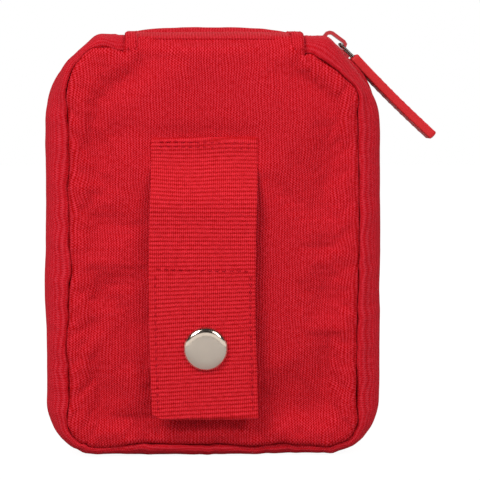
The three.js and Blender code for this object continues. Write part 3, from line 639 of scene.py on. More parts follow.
def inside_seam(x, z):
    """Distance from the seam, in mm, and whether a point is inside it."""
    edge = np.concatenate([SEAM, SEAM[:1]])
    gap = np.linalg.norm(joined(x, z)[..., None, :] - edge[::4], axis=-1).min(-1)
    a, b = edge[:-1], edge[1:]
    above = (a[:, 1] > z[..., None]) != (b[:, 1] > z[..., None])
    rise = np.where(b[:, 1] == a[:, 1], 1e-9, b[:, 1] - a[:, 1])
    cross = (b[:, 0] - a[:, 0]) * (z[..., None] - a[:, 1]) / rise
    return gap, (above & (x[..., None] < a[:, 0] + cross)).sum(-1) % 2 == 1


def held(x, z, side):
    """1 where something sewn to a panel keeps its cloth flat, falling to 0 round it."""
    near = 0.0
    for node in ("strap_sewn_end", "snap_stud") if side < 0 else ("sign_patch",):
        _, _, middle, half = box_mm(node)
        u, v = (x - middle[0]) / (half[0] + 4), (z - middle[2]) / (half[2] + 4)
        near = np.maximum(near, np.exp(-(u**4) - v**4))
    return near


def settled_cloth(points, faces, sewn):
    """Where a sheet's points go under a little pressure, with its sewn points held."""
    proxy = piece("slack_proxy", points, faces, BODY_CLOTH)
    proxy.vertex_groups.new(name="sewn").add([int(i) for i in np.nonzero(sewn)[0]], 1.0, "REPLACE")
    cloth = proxy.modifiers.new("cloth", "CLOTH")
    settings = cloth.settings
    settings.quality, settings.mass = 6, 0.15
    settings.tension_stiffness = settings.compression_stiffness = 20
    settings.shear_stiffness, settings.bending_stiffness = 8, 0.6
    settings.vertex_group_mass = "sewn"
    settings.use_pressure, settings.uniform_pressure_force = True, PRESSURE
    settings.shrink_min = -0.022  # the cloth is cut a little larger than its place
    settings.effector_weights.gravity = 0
    cloth.point_cache.frame_start, cloth.point_cache.frame_end = 1, FRAMES
    for number in range(1, FRAMES + 1):
        bpy.context.scene.frame_set(number)
    settled = proxy.evaluated_get(bpy.context.evaluated_depsgraph_get()).data
    moved = np.empty(len(points) * 3)
    settled.vertices.foreach_get("co", moved)
    bpy.context.scene.frame_set(1)
    bpy.data.objects.remove(proxy)
    return moved.reshape(-1, 3) / MM


def simulated_slack(side):
    """How far a panel's slack cloth swells and gathers between its seams, from a cloth simulation."""
    step, most = 2.6, 3.5
    x, z = np.arange(-50.7, 51, step), np.arange(4.0, 146, step)
    gx, gz = np.meshgrid(x, z, indexing="ij")
    gap, within = inside_seam(gx, gz)
    start = side * (SEAM_Y + crown(gap) + 0.5 * folds(gx, gz, side))
    index = -np.ones(gx.shape, int)
    index[within] = np.arange(within.sum())
    quads = cells(index)[:, (0, 3, 2, 1)][:, ::-side]  # the pressure pushes outwards on both sides
    quads = quads[(quads >= 0).all(1)]
    points = joined(gx, start, gz)[within]
    swell = np.zeros(gx.shape)
    swell[within] = side * (settled_cloth(points, quads, gap[within] < step * 1.2)[:, 1] - points[:, 1])
    swell = np.clip(swell, -most, most)
    swell = swell - swell[within].mean() * smooth(0, 12, gap)

    def slack(px, pz):
        a = np.clip((px - x[0]) / step, 0, len(x) - 1.001)
        b = np.clip((pz - z[0]) / step, 0, len(z) - 1.001)
        i, j = a.astype(int), b.astype(int)
        corner = lambda di, dj: swell[i + di, j + dj]
        return between(corner, smooth(0, 1, a - i), smooth(0, 1, b - j)) * (1 - held(px, pz, side))

    return slack


def over_ridge(x, y):
    """How the bridge folds: a valley along its hinge line, and an arched ridge on the lid's side."""
    end = (np.abs(x) / BRIDGE_HALF) ** 4
    far = smooth(1.5, 9, y) * smooth(24.5, 17, y)
    return -0.6 - 0.9 * end + (2.6 - 2.1 * end) * far - 1.6 * hill(y, 2.0, 1.7)


def bridge_arch(low, count):
    """The bridge's section from the height `low` on the back over to the lid: y, z and its angle's sine."""
    first = math.asin(((low - BRIDGE_BASE) / BRIDGE_RISE) ** (BRIDGE_POWER / 2))
    a = np.linspace(first, math.pi - first, count)
    y = -PANEL_DEPTH * np.sign(np.cos(a)) * np.abs(np.cos(a)) ** (2 / BRIDGE_POWER)
    return y, BRIDGE_BASE + BRIDGE_RISE * np.sin(a) ** (2 / BRIDGE_POWER), np.sin(a)


def bridge_depth(z):
    """How far the bridge's section is from the frame's middle at a height."""
    up = np.clip((z - BRIDGE_BASE) / BRIDGE_RISE, 0, 1)
    return PANEL_DEPTH * (1 - up**BRIDGE_POWER) ** (1 / BRIDGE_POWER)


def panel_points(side, x):
    """Rings of a panel from its middle out to its seam, and to the shoulder under the bridge."""
    seam = wavy_seam(side)
    rim = np.concatenate([seam, joined(x, SHOULDER)])
    is_bridge = np.arange(len(rim)) >= len(seam)
    s = np.concatenate([ARC, ARC[-1] + x + BRIDGE_HALF])
    middle = np.array([0.0, (SEAM_BOTTOM + SEAM_TOP) / 2])
    reach = np.linalg.norm(rim - middle, axis=1)
    band = 14.0  # near the seam, rings follow it at even distances
    near = np.array([13.0, 11.2, 9.6, 8.2, 6.9, 5.7, 4.6, 3.6, 2.7, 1.9, 1.25, 0.75, 0.35, 0.0])[:, None]
    inner = band + (reach - band) * (1 - np.linspace(0.02, 1, 40)[:, None])
    distance = np.concatenate([inner, near + 0 * reach])
    groove = np.concatenate([drawn_in(), np.zeros(len(x))])
    at = middle + (rim - middle) * (1 - distance / reach)[..., None]
    px, pz = at[..., 0], at[..., 1]
    seam_depth = SEAM_Y + crown(distance, groove) + puckers(s, distance, side)
    depth = np.where(is_bridge, bridge_depth(pz), seam_depth)
    depth = depth + folds(px, pz, side) * smooth(0, 16, distance) + simulated_slack(side)(px, pz)
    return joined(px, side * depth, pz)


def bridge_points(x):
    """Rows of the bridge from the back's shoulder over the top to the lid's shoulder, both left out."""
    y, z, sine = (values[1:-1, None] for values in bridge_arch(SHOULDER, BRIDGE_ROWS + 2))
    sag = 0.3 * ripple(x, y, 11, 2) + 0.12 * ripple(x, y, 4, 3) + over_ridge(x, y)
    return joined(x, y, z + sag * sine**4)


def fan(first, count, middle):
    """Triangles from a ring of points to a middle one."""
    return [(middle, first + (i + 1) % count, first + i) for i in range(count)]


def shell():
    """The back panel, the bridge and the lid's panel, which are one piece of cloth."""
    x = np.linspace(BRIDGE_LEFT, BRIDGE_HALF, BRIDGE_COLUMNS + 2)[1:-1]
    back, lid = panel_points(-1, x), panel_points(1, x)
    bridge = bridge_points(x)
    rings, count = back.shape[:2]
    start_lid, start_bridge = rings * count, 2 * rings * count
    over = start_bridge + np.arange(bridge[..., 0].size).reshape(bridge.shape[:2])
    shoulder = start_lid - BRIDGE_COLUMNS + np.arange(BRIDGE_COLUMNS)[None]
    middles = over[-1, -1] + 1
    points = np.concatenate([part.reshape(-1, 3) for part in (back, lid, bridge)]
                            + [[back[0].mean(0), lid[0].mean(0)]])
    faces = [*grid_faces(rings, count, wrap=True, flip=True), *grid_faces(rings, count, start_lid, wrap=True)]
    faces += [f[::-1] for f in fan(0, count, middles)] + fan(start_lid, count, middles + 1)
    faces += list(np.roll(cells(np.concatenate([shoulder, over, shoulder + start_lid])), -1, 1))
    uv = points[:, [0, 2]]
    uv[:, 0] += 1.1 * ripple(points[:, 2], 0.0, 7.5, 2) * hill(np.abs(points[:, 0]), 45, 5.5)
    uv[over, 1] = SHOULDER + (lengths(bridge[:, BRIDGE_COLUMNS // 2, 1:]) + 0.7)[:, None]
    made = piece("shell_cloth", points, faces, BODY_CLOTH, uv.T,
                 "back_panel front_panel bridge_back bridge_front", blended=True)
    thicken(made, 1.0)
    blend_over_hinge(made)


def gusset(side, name, node):
    """The cloth from a panel's seam, rolled outwards and on to the zip. Returns its points and depths."""
    towards = wavy_seam(side) - OUTER
    reach = np.linalg.norm(towards, axis=1)[:, None]
    s = ARC[:, None]
    edge = side * CREASE_Y + TAPE_EDGE  # from the frame's middle, towards this side
    low = max(13.0, edge + 0.5)
    a = np.radians(np.linspace(4, 90, 26))
    inset = reach * (1 - np.sin(a) ** 0.8)
    depth = low + (SEAM_Y + 0.7 - low) * np.cos(a) ** 0.75
    flat = np.linspace(low, edge + 0.5, 14)[1:] if low > edge + 0.5 else np.zeros(0)
    from_seam = reach - inset
    layers = side_layers(side)
    valley = 0.2 + 1.2 * ripple(s, 2.0, 17, layers[0]) + 0.7 * ripple(s, 5.0, 7, layers[1])
    depth = depth - valley * off_ends(s, 12) * hill(from_seam, 0, 3.4)
    depth = depth + 1.5 * off_ends(s, 8) * hill(from_seam, 2.2, 2.4)
    rest = np.concatenate([flat, [edge + 0.1, edge, edge + 0.3]]) + 0 * s
    y = np.concatenate([SEAM_Y - drawn_in()[:, None], depth, rest], 1)
    x = np.concatenate([reach + 0.1, inset, 0 * flat + 0 * s, [0.12, 0.55, 1.3] + 0 * s], 1)

    away = np.abs(SEAM_Y - y) + np.abs(reach - x) * 0.3
    broad = 0.45 * ripple(s, y, 24, layers[2], 1.0) + 0.2 * ripple(s, y, 9, layers[2])
    hold = smooth(edge, edge + 4, y) * smooth(0, 2.0, away)
    x = x - (puckers(s, away, side) * 0.9 + broad * hold) * smooth(edge, edge + 3, y)
    across, up = OUTER[:, :1], OUTER[:, 1:]
    fuller = 0.8 * hill(up, 144, 4.5) * (across < 0) - 1.6 * hill(up, 130, 7.5)
    if side < 0:  # slacker beside the slider
        fuller = fuller - 2.0 * hill(up, 138, 7) * (across > 0)
    fuller = fuller * (np.abs(across) > BRIDGE_HALF + 2)
    x = x - fuller * smooth(edge, edge + 5, y) * smooth(0.3, 6, reach - x)
    plan = OUTER[:, None] + (towards / reach)[:, None] * x[..., None]
    points = joined(plan[..., 0], side * y, np.maximum(plan[..., 1], 0.3))
    tuck = lambda end, way, far: points[end] + [way * far, 0, -1.1 * far**0.5]
    # Both ends run on under the bridge.
    points = np.stack([tuck(0, -1, 3.0), tuck(0, -1, 1.5), *points, tuck(-1, 1, 1.5), tuck(-1, 1, 3.0)])
    s = np.concatenate([[-3.4, -1.8], ARC, ARC[-1] + [1.8, 3.4]])
    sample = 200  # a row on the straight side, whose width stands for every row's
    run = lengths(joined(x[sample], y[sample]))
    faces = grid_faces(*points.shape[:2], flip=side < 0)
    thicken(piece(name + "_gusset_cloth", points, faces, GUSSET_CLOTH, (run, s[:, None]), node), 1.0)
    return points, y[sample]


shell()
BACK_GUSSET = gusset(-1, "back", "back_gusset")
LID_GUSSET = gusset(1, "lid", "front_gusset")


# ---------- hems and topstitching ----------


def over_top(count, lift=0.0):
    """The bridge's own line over the top, from low on the back to low on the lid, as [y, z]."""
    y, z, sine = bridge_arch(139.0, count)
    z = z + (over_ridge(BRIDGE_HALF * 0.93, y) - 0.8) * sine**4
    line = resampled(joined(y, z), count)
    return line + unit(np.gradient(line, axis=0))[:, ::-1] * [-1, 1] * lift


def hems():
    """The folded hem at each end of the bridge, over the top from the back to the lid."""
    count = 150
    line, up = over_top(count), over_top(count, 1.3)
    s = lengths(line)
    taper = off_ends(s, 5)[:, None]
    across, out = band_section(HEM, 2.0, 9)
    swell = 0.86 + 0.14 * np.cos(across / HEM * math.pi)
    for name, sign, end in (("left", -1, BRIDGE_LEFT), ("right", 1, BRIDGE_HALF)):
        x = end - sign * (HEM / 2 - 0.3) + 0.25 * ripple(s, sign * 7.0, 9, 1)
        pinch = 1 + 0.07 * ripple(s, sign * 3.0, 2.2, 2)[:, None]
        grid = carried(np.column_stack([x, line]), (1, 0, 0), across * (0.82 + 0.18 * taper) * pinch,
                       out * swell * (0.3 + 0.7 * taper) * pinch + 0.1 - 0.55 * taper)
        blend_over_hinge(solid(name + "_hem", grid, BODY_CLOTH, (across, s[:, None]), slot="red_fabric"))
        away = np.column_stack([np.zeros(count), up - line])[6:-6]
        for offset in (-1.2, 1.35):
            kind = "inner" if offset * sign < 0 else "outer"
            row = np.column_stack([x + offset, up])[6:-6]
            blend_over_hinge(stitches(f"{name}_hem_{kind}_stitches", row, away, radius=0.17, pitch=2.2))


def zip_topstitching():
    """A row of stitches along each gusset, beside the zip."""
    for name, body, (points, depth) in (("back", "base", BACK_GUSSET), ("lid", "lid", LID_GUSSET)):
        column = int(np.argmin(np.abs(depth - (depth.min() + 2.2))))
        away = -joined(INWARD[2:-2, 0], 0, INWARD[2:-2, 1])
        stitches(name + "_gusset_stitches", points[4:-4, column], away, body, lift=0.06)


# ---------- belt strap ----------

STRAP_LOW, STRAP_HIGH, STRAP_MIDDLE, _ = box_mm("strap_upper")
STRAP_X = STRAP_MIDDLE[0]
STRAP_WIDTH = STRAP_HIGH[0] - STRAP_LOW[0]
STRAP_HINGE, STRAP_OUTER = STRAP_HIGH[2], STRAP_LOW[1]
SEWN_LOW, SEWN_HIGH = box_mm("strap_sewn_end")[:2]
STRAP_TOP = SEWN_HIGH[2]
TAIL_LOW, TAIL_HIGH = box_mm("strap_lower")[:2]
WEB = 1.3  # the webbing's thickness
RIB, RIB_SLOPE = 1.4, 0.028
JOIN_Z = 86.0  # where the upper run meets the doubled one


def blend_over_fold(made):
    blend_over(made)


def strap_face(z):
    """The outer face of the strap's upper run."""
    return SEWN_LOW[1] + (STRAP_OUTER - SEWN_LOW[1]) * smooth(STRAP_HINGE, 88, z)


def bow(z):
    """How far the strap wanders sideways on its way down."""
    return -1.1 * np.sin(math.pi * np.clip((STRAP_TOP - z) / (STRAP_TOP - 8), 0, 1)) ** 1.5


def webbing_run(name, line, start_length, replaces):
    """A run of webbing with real ribs along a path of [y, z]."""
    step = 0.17
    line = np.asarray(line, float)
    line = np.concatenate([resampled(line, int(lengths(line)[-1] / step)), line[-1:]])
    s = start_length + lengths(line)[:, None]
    across, out = band_section(STRAP_WIDTH, WEB, 44)
    skew = across * RIB_SLOPE + 0.5 * ripple(across, s, 16, 4)
    groove = 1 - np.abs(np.sin(math.pi * (s + skew) / RIB)) ** 0.7
    narrow = 1 - 0.010 * groove + 0.004 * ripple(s, 0, 8, 3)
    is_edge = np.abs(across) > STRAP_WIDTH / 2 - 1.1
    cut = np.where(is_edge, 0.05, 0.17) * groove + 0.05 * ripple(across, s, 0.8, 5)
    wave = 0.28 * ripple(across, s, 17, 4, 1.6) + 0.1 * ripple(across, s, 6, 3)
    wave = wave * smooth(0, 3, s - start_length)
    path = np.column_stack([STRAP_X + bow(line[:, 1]), line])
    grid = carried(path, (1, 0, 0), across * narrow, out - np.sign(out) * cut + wave)
    left = (grid[..., 0] - STRAP_X + STRAP_WIDTH / 2) / 3.4
    low = (grid[..., 2] - TAIL_LOW[2]) / 2.2
    folded = np.clip(1 - left - low, 0, 2)  # the lower left corner is folded under a little
    grid = grid + folded[..., None] * [1.7, 0, 1.1]
    return solid(name, grid, WEBBING, (across, s + skew), replaces, blended=True)


def strap():
    inner, layer = -BACK_GAP - WEB / 2, -BACK_GAP - 1.5 * WEB
    r = WEB / 2 + 0.02
    top = STRAP_TOP - WEB / 2 - r
    turn = np.radians(np.linspace(0, 180, 12))
    line = [[inner, STRAP_HINGE + 0.4]]
    line += [[(inner + layer) / 2 + r * math.cos(a), top + r * math.sin(a)] for a in turn]
    line += [[strap_face(z) + WEB / 2, z] for z in np.linspace(STRAP_HINGE, JOIN_Z, 40)]
    upper = webbing_run("strap_webbing_upper", line, 0.0, "strap_sewn_end strap_upper")
    blend_over(upper)

    start = lengths(np.array(line))[-1]
    outer, inner = STRAP_OUTER + WEB / 2, TAIL_HIGH[1] - WEB / 2
    r = (inner - outer) / 2
    bottom = TAIL_LOW[2] + WEB / 2 + r
    line = [[outer, z] for z in np.linspace(JOIN_Z, bottom + 0.5, 30)]
    line += [[(outer + inner) / 2 - r * math.cos(a), bottom - r * math.sin(a)] for a in turn]
    line += [[inner, z] for z in np.linspace(bottom + 0.5, TAIL_HIGH[2] - 0.4, 30)]
    blend_over_fold(webbing_run("strap_webbing_lower", line, start, "strap_lower"))


def strap_stitching():
    half = STRAP_WIDTH / 2
    x = np.linspace(-half + 1.2, half - 1.2, 120)

    def row(name, z, face, body=None, radius=0.24):
        up = z - x * RIB_SLOPE + 0.25 * ripple(x, z, 7, 0)
        return stitches(name, joined(STRAP_X + x + bow(z), face, up), (0, -1, 0), body, radius=radius)

    row("strap_top_stitches", STRAP_TOP - 1.9, SEWN_LOW[1] + 0.1, "base", 0.26)
    row("strap_hold_stitches", STRAP_TOP - 3.5, SEWN_LOW[1] + 0.1, "base", 0.2)
    blend_over_fold(row("strap_box_stitches_top", TAIL_HIGH[2] - 1.6, STRAP_OUTER + 0.05))
    z = np.linspace(TAIL_HIGH[2] - 2, TAIL_LOW[2] + 2.2, 160)
    for name, inset in (("left", 2.1), ("right", STRAP_WIDTH - 1.9)):
        across = STRAP_X - half + inset + bow(z) + 0.12 * ripple(z, inset, 6, 1)
        line = joined(across, STRAP_OUTER + 0.05, z)
        blend_over_fold(stitches(f"strap_box_stitches_{name}", line, (0, -1, 0), radius=0.22))


# ---------- snap fastener ----------


def snap():
    low, high, middle, half = box_mm("snap_cap")
    centre = middle * [1, 0, 1]
    r, face, rim = half[0], low[1], STRAP_OUTER - 0.12
    profile = [[r * t, face + 0.16 * t**2 + 1.05 * t**9] for t in np.linspace(0, 0.965, 26)]
    profile += [[r * 0.965 + 0.26 * math.sin(a), face + 1.16 + 0.42 * (1 - math.cos(a))]
                for a in np.radians(np.linspace(12, 165, 12))]
    profile += [[r * 0.9, rim], [2.6, rim], [2.4, rim + 1.4], [2.3, high[1]], [0, high[1]]]
    lathe("snap_cap_dome", profile, centre, "snap_cap", 128)

    low, high, _, half = box_mm("snap_socket")
    r, face, back = half[0], low[1], high[1]
    profile = [[2.95, face + 0.7], [2.95, face], [r - 0.7, face], [r - 0.15, face + 0.18], [r, face + 0.6],
               [r, face + 1.5], [r - 0.25, face + 1.95], [r - 0.7, back - 0.12], [r - 1.1, back], [4.1, back],
               [3.6, back - 0.15], [3.35, back - 0.5], [3.3, back - 1.1], [3.5, face + 0.9],
               [2.95, face + 0.7]]
    lathe("snap_socket_ring", profile, centre, "snap_socket")

    low, high = box_mm("snap_stud")[:2]
    tip, seat = low[1], high[1]
    profile = [[0, tip + 0.25], [1.0, tip + 0.2], [1.6, tip], [2.2, tip + 0.05], [2.75, tip + 0.3],
               [3.0, tip + 0.8], [2.95, tip + 1.3], [2.65, tip + 1.8], [2.6, tip + 2.4], [2.8, seat - 1.0],
               [3.6, seat - 0.8], [5.0, seat - 0.72], [5.4, seat - 0.5], [5.5, seat - 0.2], [5.3, seat],
               [0, seat]]
    lathe("snap_stud_post", profile, centre, "snap_stud")

    low, high = box_mm("snap_rivet")[:2]
    back = high[1]
    profile = [[0, back], [3.4, back - 0.02], [4.6, back - 0.18], [5.2, back - 0.45], [5.45, back - 0.75],
               [5.2, back - 0.95], [1.5, back - 0.95], [1.5, low[1]], [0, low[1]]]
    lathe("snap_rivet_head", profile, centre, "snap_rivet")


# ---------- zip ----------

ZIP_END = 3.0  # how far the zip runs on under each end of the bridge


def zip_line(inset):
    """The zip's line round the pouch, `inset` inside the outline, and its directions inwards."""
    line = OUTER + INWARD * inset
    line = np.concatenate([line[:1] - [ZIP_END, 0], line, line[-1:] + [ZIP_END, 0]])
    return line, np.concatenate([INWARD[:1], INWARD, INWARD[-1:]])


def zip_tape(name, side, node):
    line, inward = zip_line(box_mm(node)[0][2] + 0.3)
    s = lengths(line)[:, None]
    reach = np.linspace(0.75, 9.0, 16)
    ease = 0.16 * ripple(s, reach, 9, 2) + 0.12 * smooth(3, 9, reach) * ripple(s, reach, 22, 3)
    plan = line[:, None] + inward[:, None] * ease[..., None]
    y = CREASE_Y + side * (reach + 0.05 * ripple(s, reach, 5, 4))
    faces = grid_faces(*y.shape, flip=side > 0)
    points = joined(plan[..., 0], y, plan[..., 1])
    thicken(piece(name + "_tape", points, faces, ZIP_TAPE, (reach, s), node), 0.55, 0.0)


def zip_coil(name, side, node):
    """A nylon coil whose loops reach just past the zip's middle, between the other coil's."""
    line, inward = zip_line(1.25)
    s = lengths(line)
    pitch, steps = 1.3, 14
    t = np.arange(int(s[-1] / pitch) * steps) / steps
    at = np.clip((t + (0.5 if side > 0 else 0)) * pitch, 0, s[-1])
    inwards = unit(at_lengths(at, s, inward))
    a = 2 * math.pi * t
    across = 1.42 - 1.74 * np.sign(np.cos(a)) * np.abs(np.cos(a)) ** 0.7
    plan = at_lengths(at, s, line) + inwards * (0.72 * np.sin(a))[:, None]
    path = joined(plan[:, 0], CREASE_Y + side * across, plan[:, 1])
    ring = circle(0.3, 6)
    grid = carried(path, joined(inwards[:, 0], 0, inwards[:, 1]), *ring)
    solid(name + "_coil", grid, COIL, (ring[0], at[:, None]), node)


def bevelled(node, look, width, segments=3):
    """A CAD node that keeps its shape, with soft edges and its own finish."""
    shown = frame["nodes"][node]
    shown.data.materials.clear()
    shown.data.materials.append(look)
    modifier = shown.modifiers.new("edges", "BEVEL")
    modifier.width, modifier.segments, modifier.limit_method = width * MM, segments, "ANGLE"
    modifier.angle_limit = math.radians(32)
    modifier.harden_normals = True


# ---------- zip pull ----------

PIVOT = np.array(JOINTS["puller_swing"]["pos_m"]) / MM
DROOP = math.atan2(CORNER_DOWN, CORNER_ACROSS) + math.radians(3.9)  # a little steeper than the corner
PULL = np.array([math.cos(DROOP), 0, -math.sin(DROOP)])
PULL_OUT = np.array([math.sin(DROOP), 0, math.cos(DROOP)])


def pull_wire():
    """The steel wire through the slider's crown, from the tab and back."""
    arm, grip, half = 7.0, 5.0, 2.9
    shape = [[arm + grip, -half * 0.55], [arm + 2, -half], [arm * 0.5, -half], [1.0, -half + 0.12]]
    bar = [[0, y] for y in np.linspace(0.9 - half, half - 0.9, 5)]
    shape = rounded_path(shape + bar + [[x, -y] for x, y in shape[::-1]], 160)
    path = PIVOT + shape[:, :1] * PULL + shape[:, 1:] * [0, 1, 0]
    ring = circle(0.44, 14)
    uv = ring[0], lengths(shape)[:, None]
    solid("pull_wire_loop", carried(path, PULL_OUT, *ring), WIRE, uv, "pull_wire")


def pull_tab():
    """The rubber tab moulded on the wire, with nine ribs across it and a channel along each edge."""
    low, high, centre, _ = box_mm("pull_tab")
    width, length, thickness = high[1] - low[1], 41.0, 3.3
    ribs, rib_pitch, first_rib = 9, 3.0, 11.0
    rows = np.linspace(-length / 2, length / 2, 240)[:, None]
    across, out = slab_section(width - 0.3, thickness, 0.55, 26, 7)
    end = length / 2 - np.abs(rows)
    rounded = lambda radius: 1 - np.sqrt(1 - (1 - np.minimum(end / radius, 1)) ** 2)
    narrow = (1 - 0.16 * rounded(1.6)) * (1 - 0.05 * hill(rows, -14, 5.5))
    place = (rows + length / 2 - first_rib) / rib_pitch
    k = np.floor(place)
    rib = smooth(0, 0.6, 1 - np.abs(place - k - 0.5) * rib_pitch / 0.75) * ((k >= 0) & (k < ribs))
    face = np.sign(out) * (np.abs(out) > thickness / 2 * 0.99)
    rib = 0.1 * rib * smooth(width * 0.43, width * 0.36, np.abs(across)) * face
    rim = np.sign(out) * (np.abs(out) > thickness / 2 * 0.9)
    channel = 0.12 * smooth(0.8, 0, np.abs(np.abs(across) - width * 0.44)) * rim
    channel = channel * smooth(0, 3, np.minimum(end, 1.6))
    sag = 0.45 * np.sin(math.pi * (rows / length + 0.5))
    path = centre + rows * PULL - sag * PULL_OUT
    grid = carried(path, (0, 1, 0), across * narrow, out * (1 - 0.55 * rounded(0.7)) + rib - channel)
    solid("pull_tab_rubber", grid, RUBBER, (across, rows), "pull_tab")


# ---------- first aid sign on the lid ----------


def sign():
    _, high, centre, (half, _, _) = box_mm("sign_patch")
    u, v = square_grid(1.0, 60)
    radius = 0.14
    over_u, over_v = np.abs(u) - (1 - radius), np.abs(v) - (1 - radius)
    corner = (over_u > 0) & (over_v > 0)
    pull_in = np.where(corner, np.maximum(over_u, over_v) / np.maximum(np.hypot(over_u, over_v), 1e-6), 1.0)
    x = np.where(corner, np.sign(u) * (1 - radius + over_u * pull_in), u) * half
    z = np.where(corner, np.sign(v) * (1 - radius + over_v * pull_in), v) * half
    edge = np.minimum(half - np.abs(x), half - np.abs(z))
    face = high[1] - 0.35 * (1 - smooth(0, 1.2, edge)) + 0.08 * ripple(x, z, 7, 0)
    front = joined(x + centre[0], face, z + centre[2])
    made = piece("sign_ground", front, grid_faces(60, 60, flip=True), GREEN_CLOTH, (x, z), "sign_patch")
    thicken(made, high[1] - LID_FACE - 0.2)

    t = np.linspace(0, 2 * math.pi, 360, endpoint=False)
    square = np.maximum(np.abs(np.cos(t)), np.abs(np.sin(t)))
    reach = np.minimum(half / square, half * 1.32) * 0.975
    path = joined(centre[0] + reach * np.cos(t), high[1] - 0.2, centre[2] + reach * np.sin(t))
    across, out = band_section(2.2, 1.0, 9)
    s = 8 * half * t[:, None] / (2 * math.pi)
    out = out * (1 + 0.12 * np.cos(2 * math.pi * s / 0.8))
    grid = carried(path, (0, 1, 0), out, across * 0.55 + 0 * out, loop=True)
    solid("sign_overlock", grid, GREEN_THREAD, (across, s), loop=True, body="lid", slot="green_patch")
    sign_cross(centre)


def square_grid(half, count):
    line = np.linspace(-half, half, count)
    return np.meshgrid(line, line, indexing="ij")


def sign_cross(centre):
    """The white cross, embroidered a little proud of its ground."""
    low, _, _, half = box_mm("sign_cross")
    reach, arm, n = half[0], half[0] / 3, 90
    u, v = square_grid(reach, n)
    wide, tall = np.abs(u), np.abs(v)
    edge = np.maximum(np.minimum(arm - wide, reach - tall), np.minimum(arm - tall, reach - wide))
    lean = np.where(wide > arm, u, v)
    face = low[1] + 0.05 + 0.7 * np.sqrt(smooth(-0.3, 2.2, edge)) + 0.03 * np.cos(2 * math.pi * lean / 0.8)
    front = joined(u + centre[0], face, v + centre[2]).reshape(-1, 3)
    faces = grid_faces(n, n, flip=True)
    faces = faces[(np.minimum(wide, tall) <= arm + 0.27).ravel()[faces].all(1)]
    used, index = np.unique(faces, return_inverse=True)
    made = piece("sign_cross_embroidery", front[used], index.reshape(-1, 4), WHITE_THREAD,
                 (u.ravel()[used], v.ravel()[used]), "sign_cross")
    thicken(made, 0.5)


# ---------- inside: bindings, pockets and contents ----------


def seam_binding(name, side, node):
    """Tape folded over the seam allowance, all round the panel's inside."""
    count = 620
    ring = SEAM + SEAMWARD * 1.9
    across_top = np.linspace(ring[-1], ring[0], 40)[1:-1]
    plan = resampled(np.concatenate([ring, across_top, ring[:1]]), count)
    s = np.arange(count) * (lengths(plan)[-1] / count)
    y = box_mm(node)[2][1] + 0.12 * ripple(s, side, 7, 3)
    across, out = band_section(2.6, 1.1, 7)
    swell = 1 + 0.12 * ripple(s, side * 5.0, 3, 2)[:, None]
    path = joined(plan[:, 0], y, plan[:, 1])
    grid = carried(path, (0, 1, 0), out * swell, across * 0.5 * swell, loop=True)
    solid(name + "_binding", grid, BINDING, (across, s[:, None]), node, loop=True)


def pocket(node):
    """A net pocket, gathered a little under its elastic edge."""
    low, high, middle, _ = box_mm(node)
    x, z = np.linspace(low[0], high[0], 150), np.linspace(low[2], high[2] + 1.2, 90)
    x, z = np.meshgrid(x, z, indexing="ij")
    up = smooth(high[2] - 30, high[2], z)
    gather = 0.5 * ripple(x, z * 0.12, 3.4, 1) * up + 0.5 * ripple(x, z, 20, 2)
    y = middle[1] + gather * smooth(0, 4, np.minimum(x - low[0], high[0] - x))
    thicken(piece(node + "_net", joined(x, y, z), grid_faces(150, 90), NET, (x, z), node), 0.3, 0.0)

    node = node + "_elastic"
    low, high, middle, _ = box_mm(node)
    across, out = band_section(high[2] - low[2], 1.3, 16)
    x = np.linspace(low[0], high[0], 420)
    path = joined(x, middle[1] + 0.25 * ripple(x, 0, 9, 4), middle[2])
    rib = 0.12 * np.abs(np.sin(math.pi * across / 1.1)) * np.sign(out)
    frill = 1 + 0.03 * ripple(x, 3.0, 2.1, 5)[:, None]
    grid = carried(path, (0, 0, 1), across * frill, out - rib)
    solid(node + "_band", grid, ELASTIC, (x[:, None], across), node)


def packet(node, look, seal=4.0, fullness=0.6, crimp=0.1, crumple=0.2, layer=0):
    """A sealed packet: a flat crimped rim round a filled middle."""
    low, high, centre, half = box_mm(node)
    z = np.linspace(-half[2], half[2], 110)[:, None]
    x = np.linspace(-half[0], half[0], 80)[None]
    edge = np.minimum(half[0] - np.abs(x), half[2] - np.abs(z))
    fill = smooth(seal * 0.7, seal * 0.7 + min(6, half[0] * 0.5), edge) ** fullness
    thick = 0.1 + (half[1] * 0.86 - 0.1) * fill
    rim = crimp * np.cos(2 * math.pi * (x + z) / 1.3) * (1 - smooth(seal - 0.8, seal, edge))
    crease = np.abs(ripple(x, z, 9, layer, 1.5)) + 0.5 * np.abs(ripple(x, z, 4, layer + 1))
    dent = crumple * half[1] * crease * smooth(0.5, seal + 3, edge)
    front = centre[1] - thick + rim + dent
    back = centre[1] + thick + rim - dent * 0.6
    y = np.clip(np.concatenate([front, back[:, ::-1]], 1), low[1], high[1])
    x = np.concatenate([x, x[:, ::-1]], 1)
    solid(node + "_packet", joined(x + centre[0], y, z + centre[2]), look, (x, z), node)


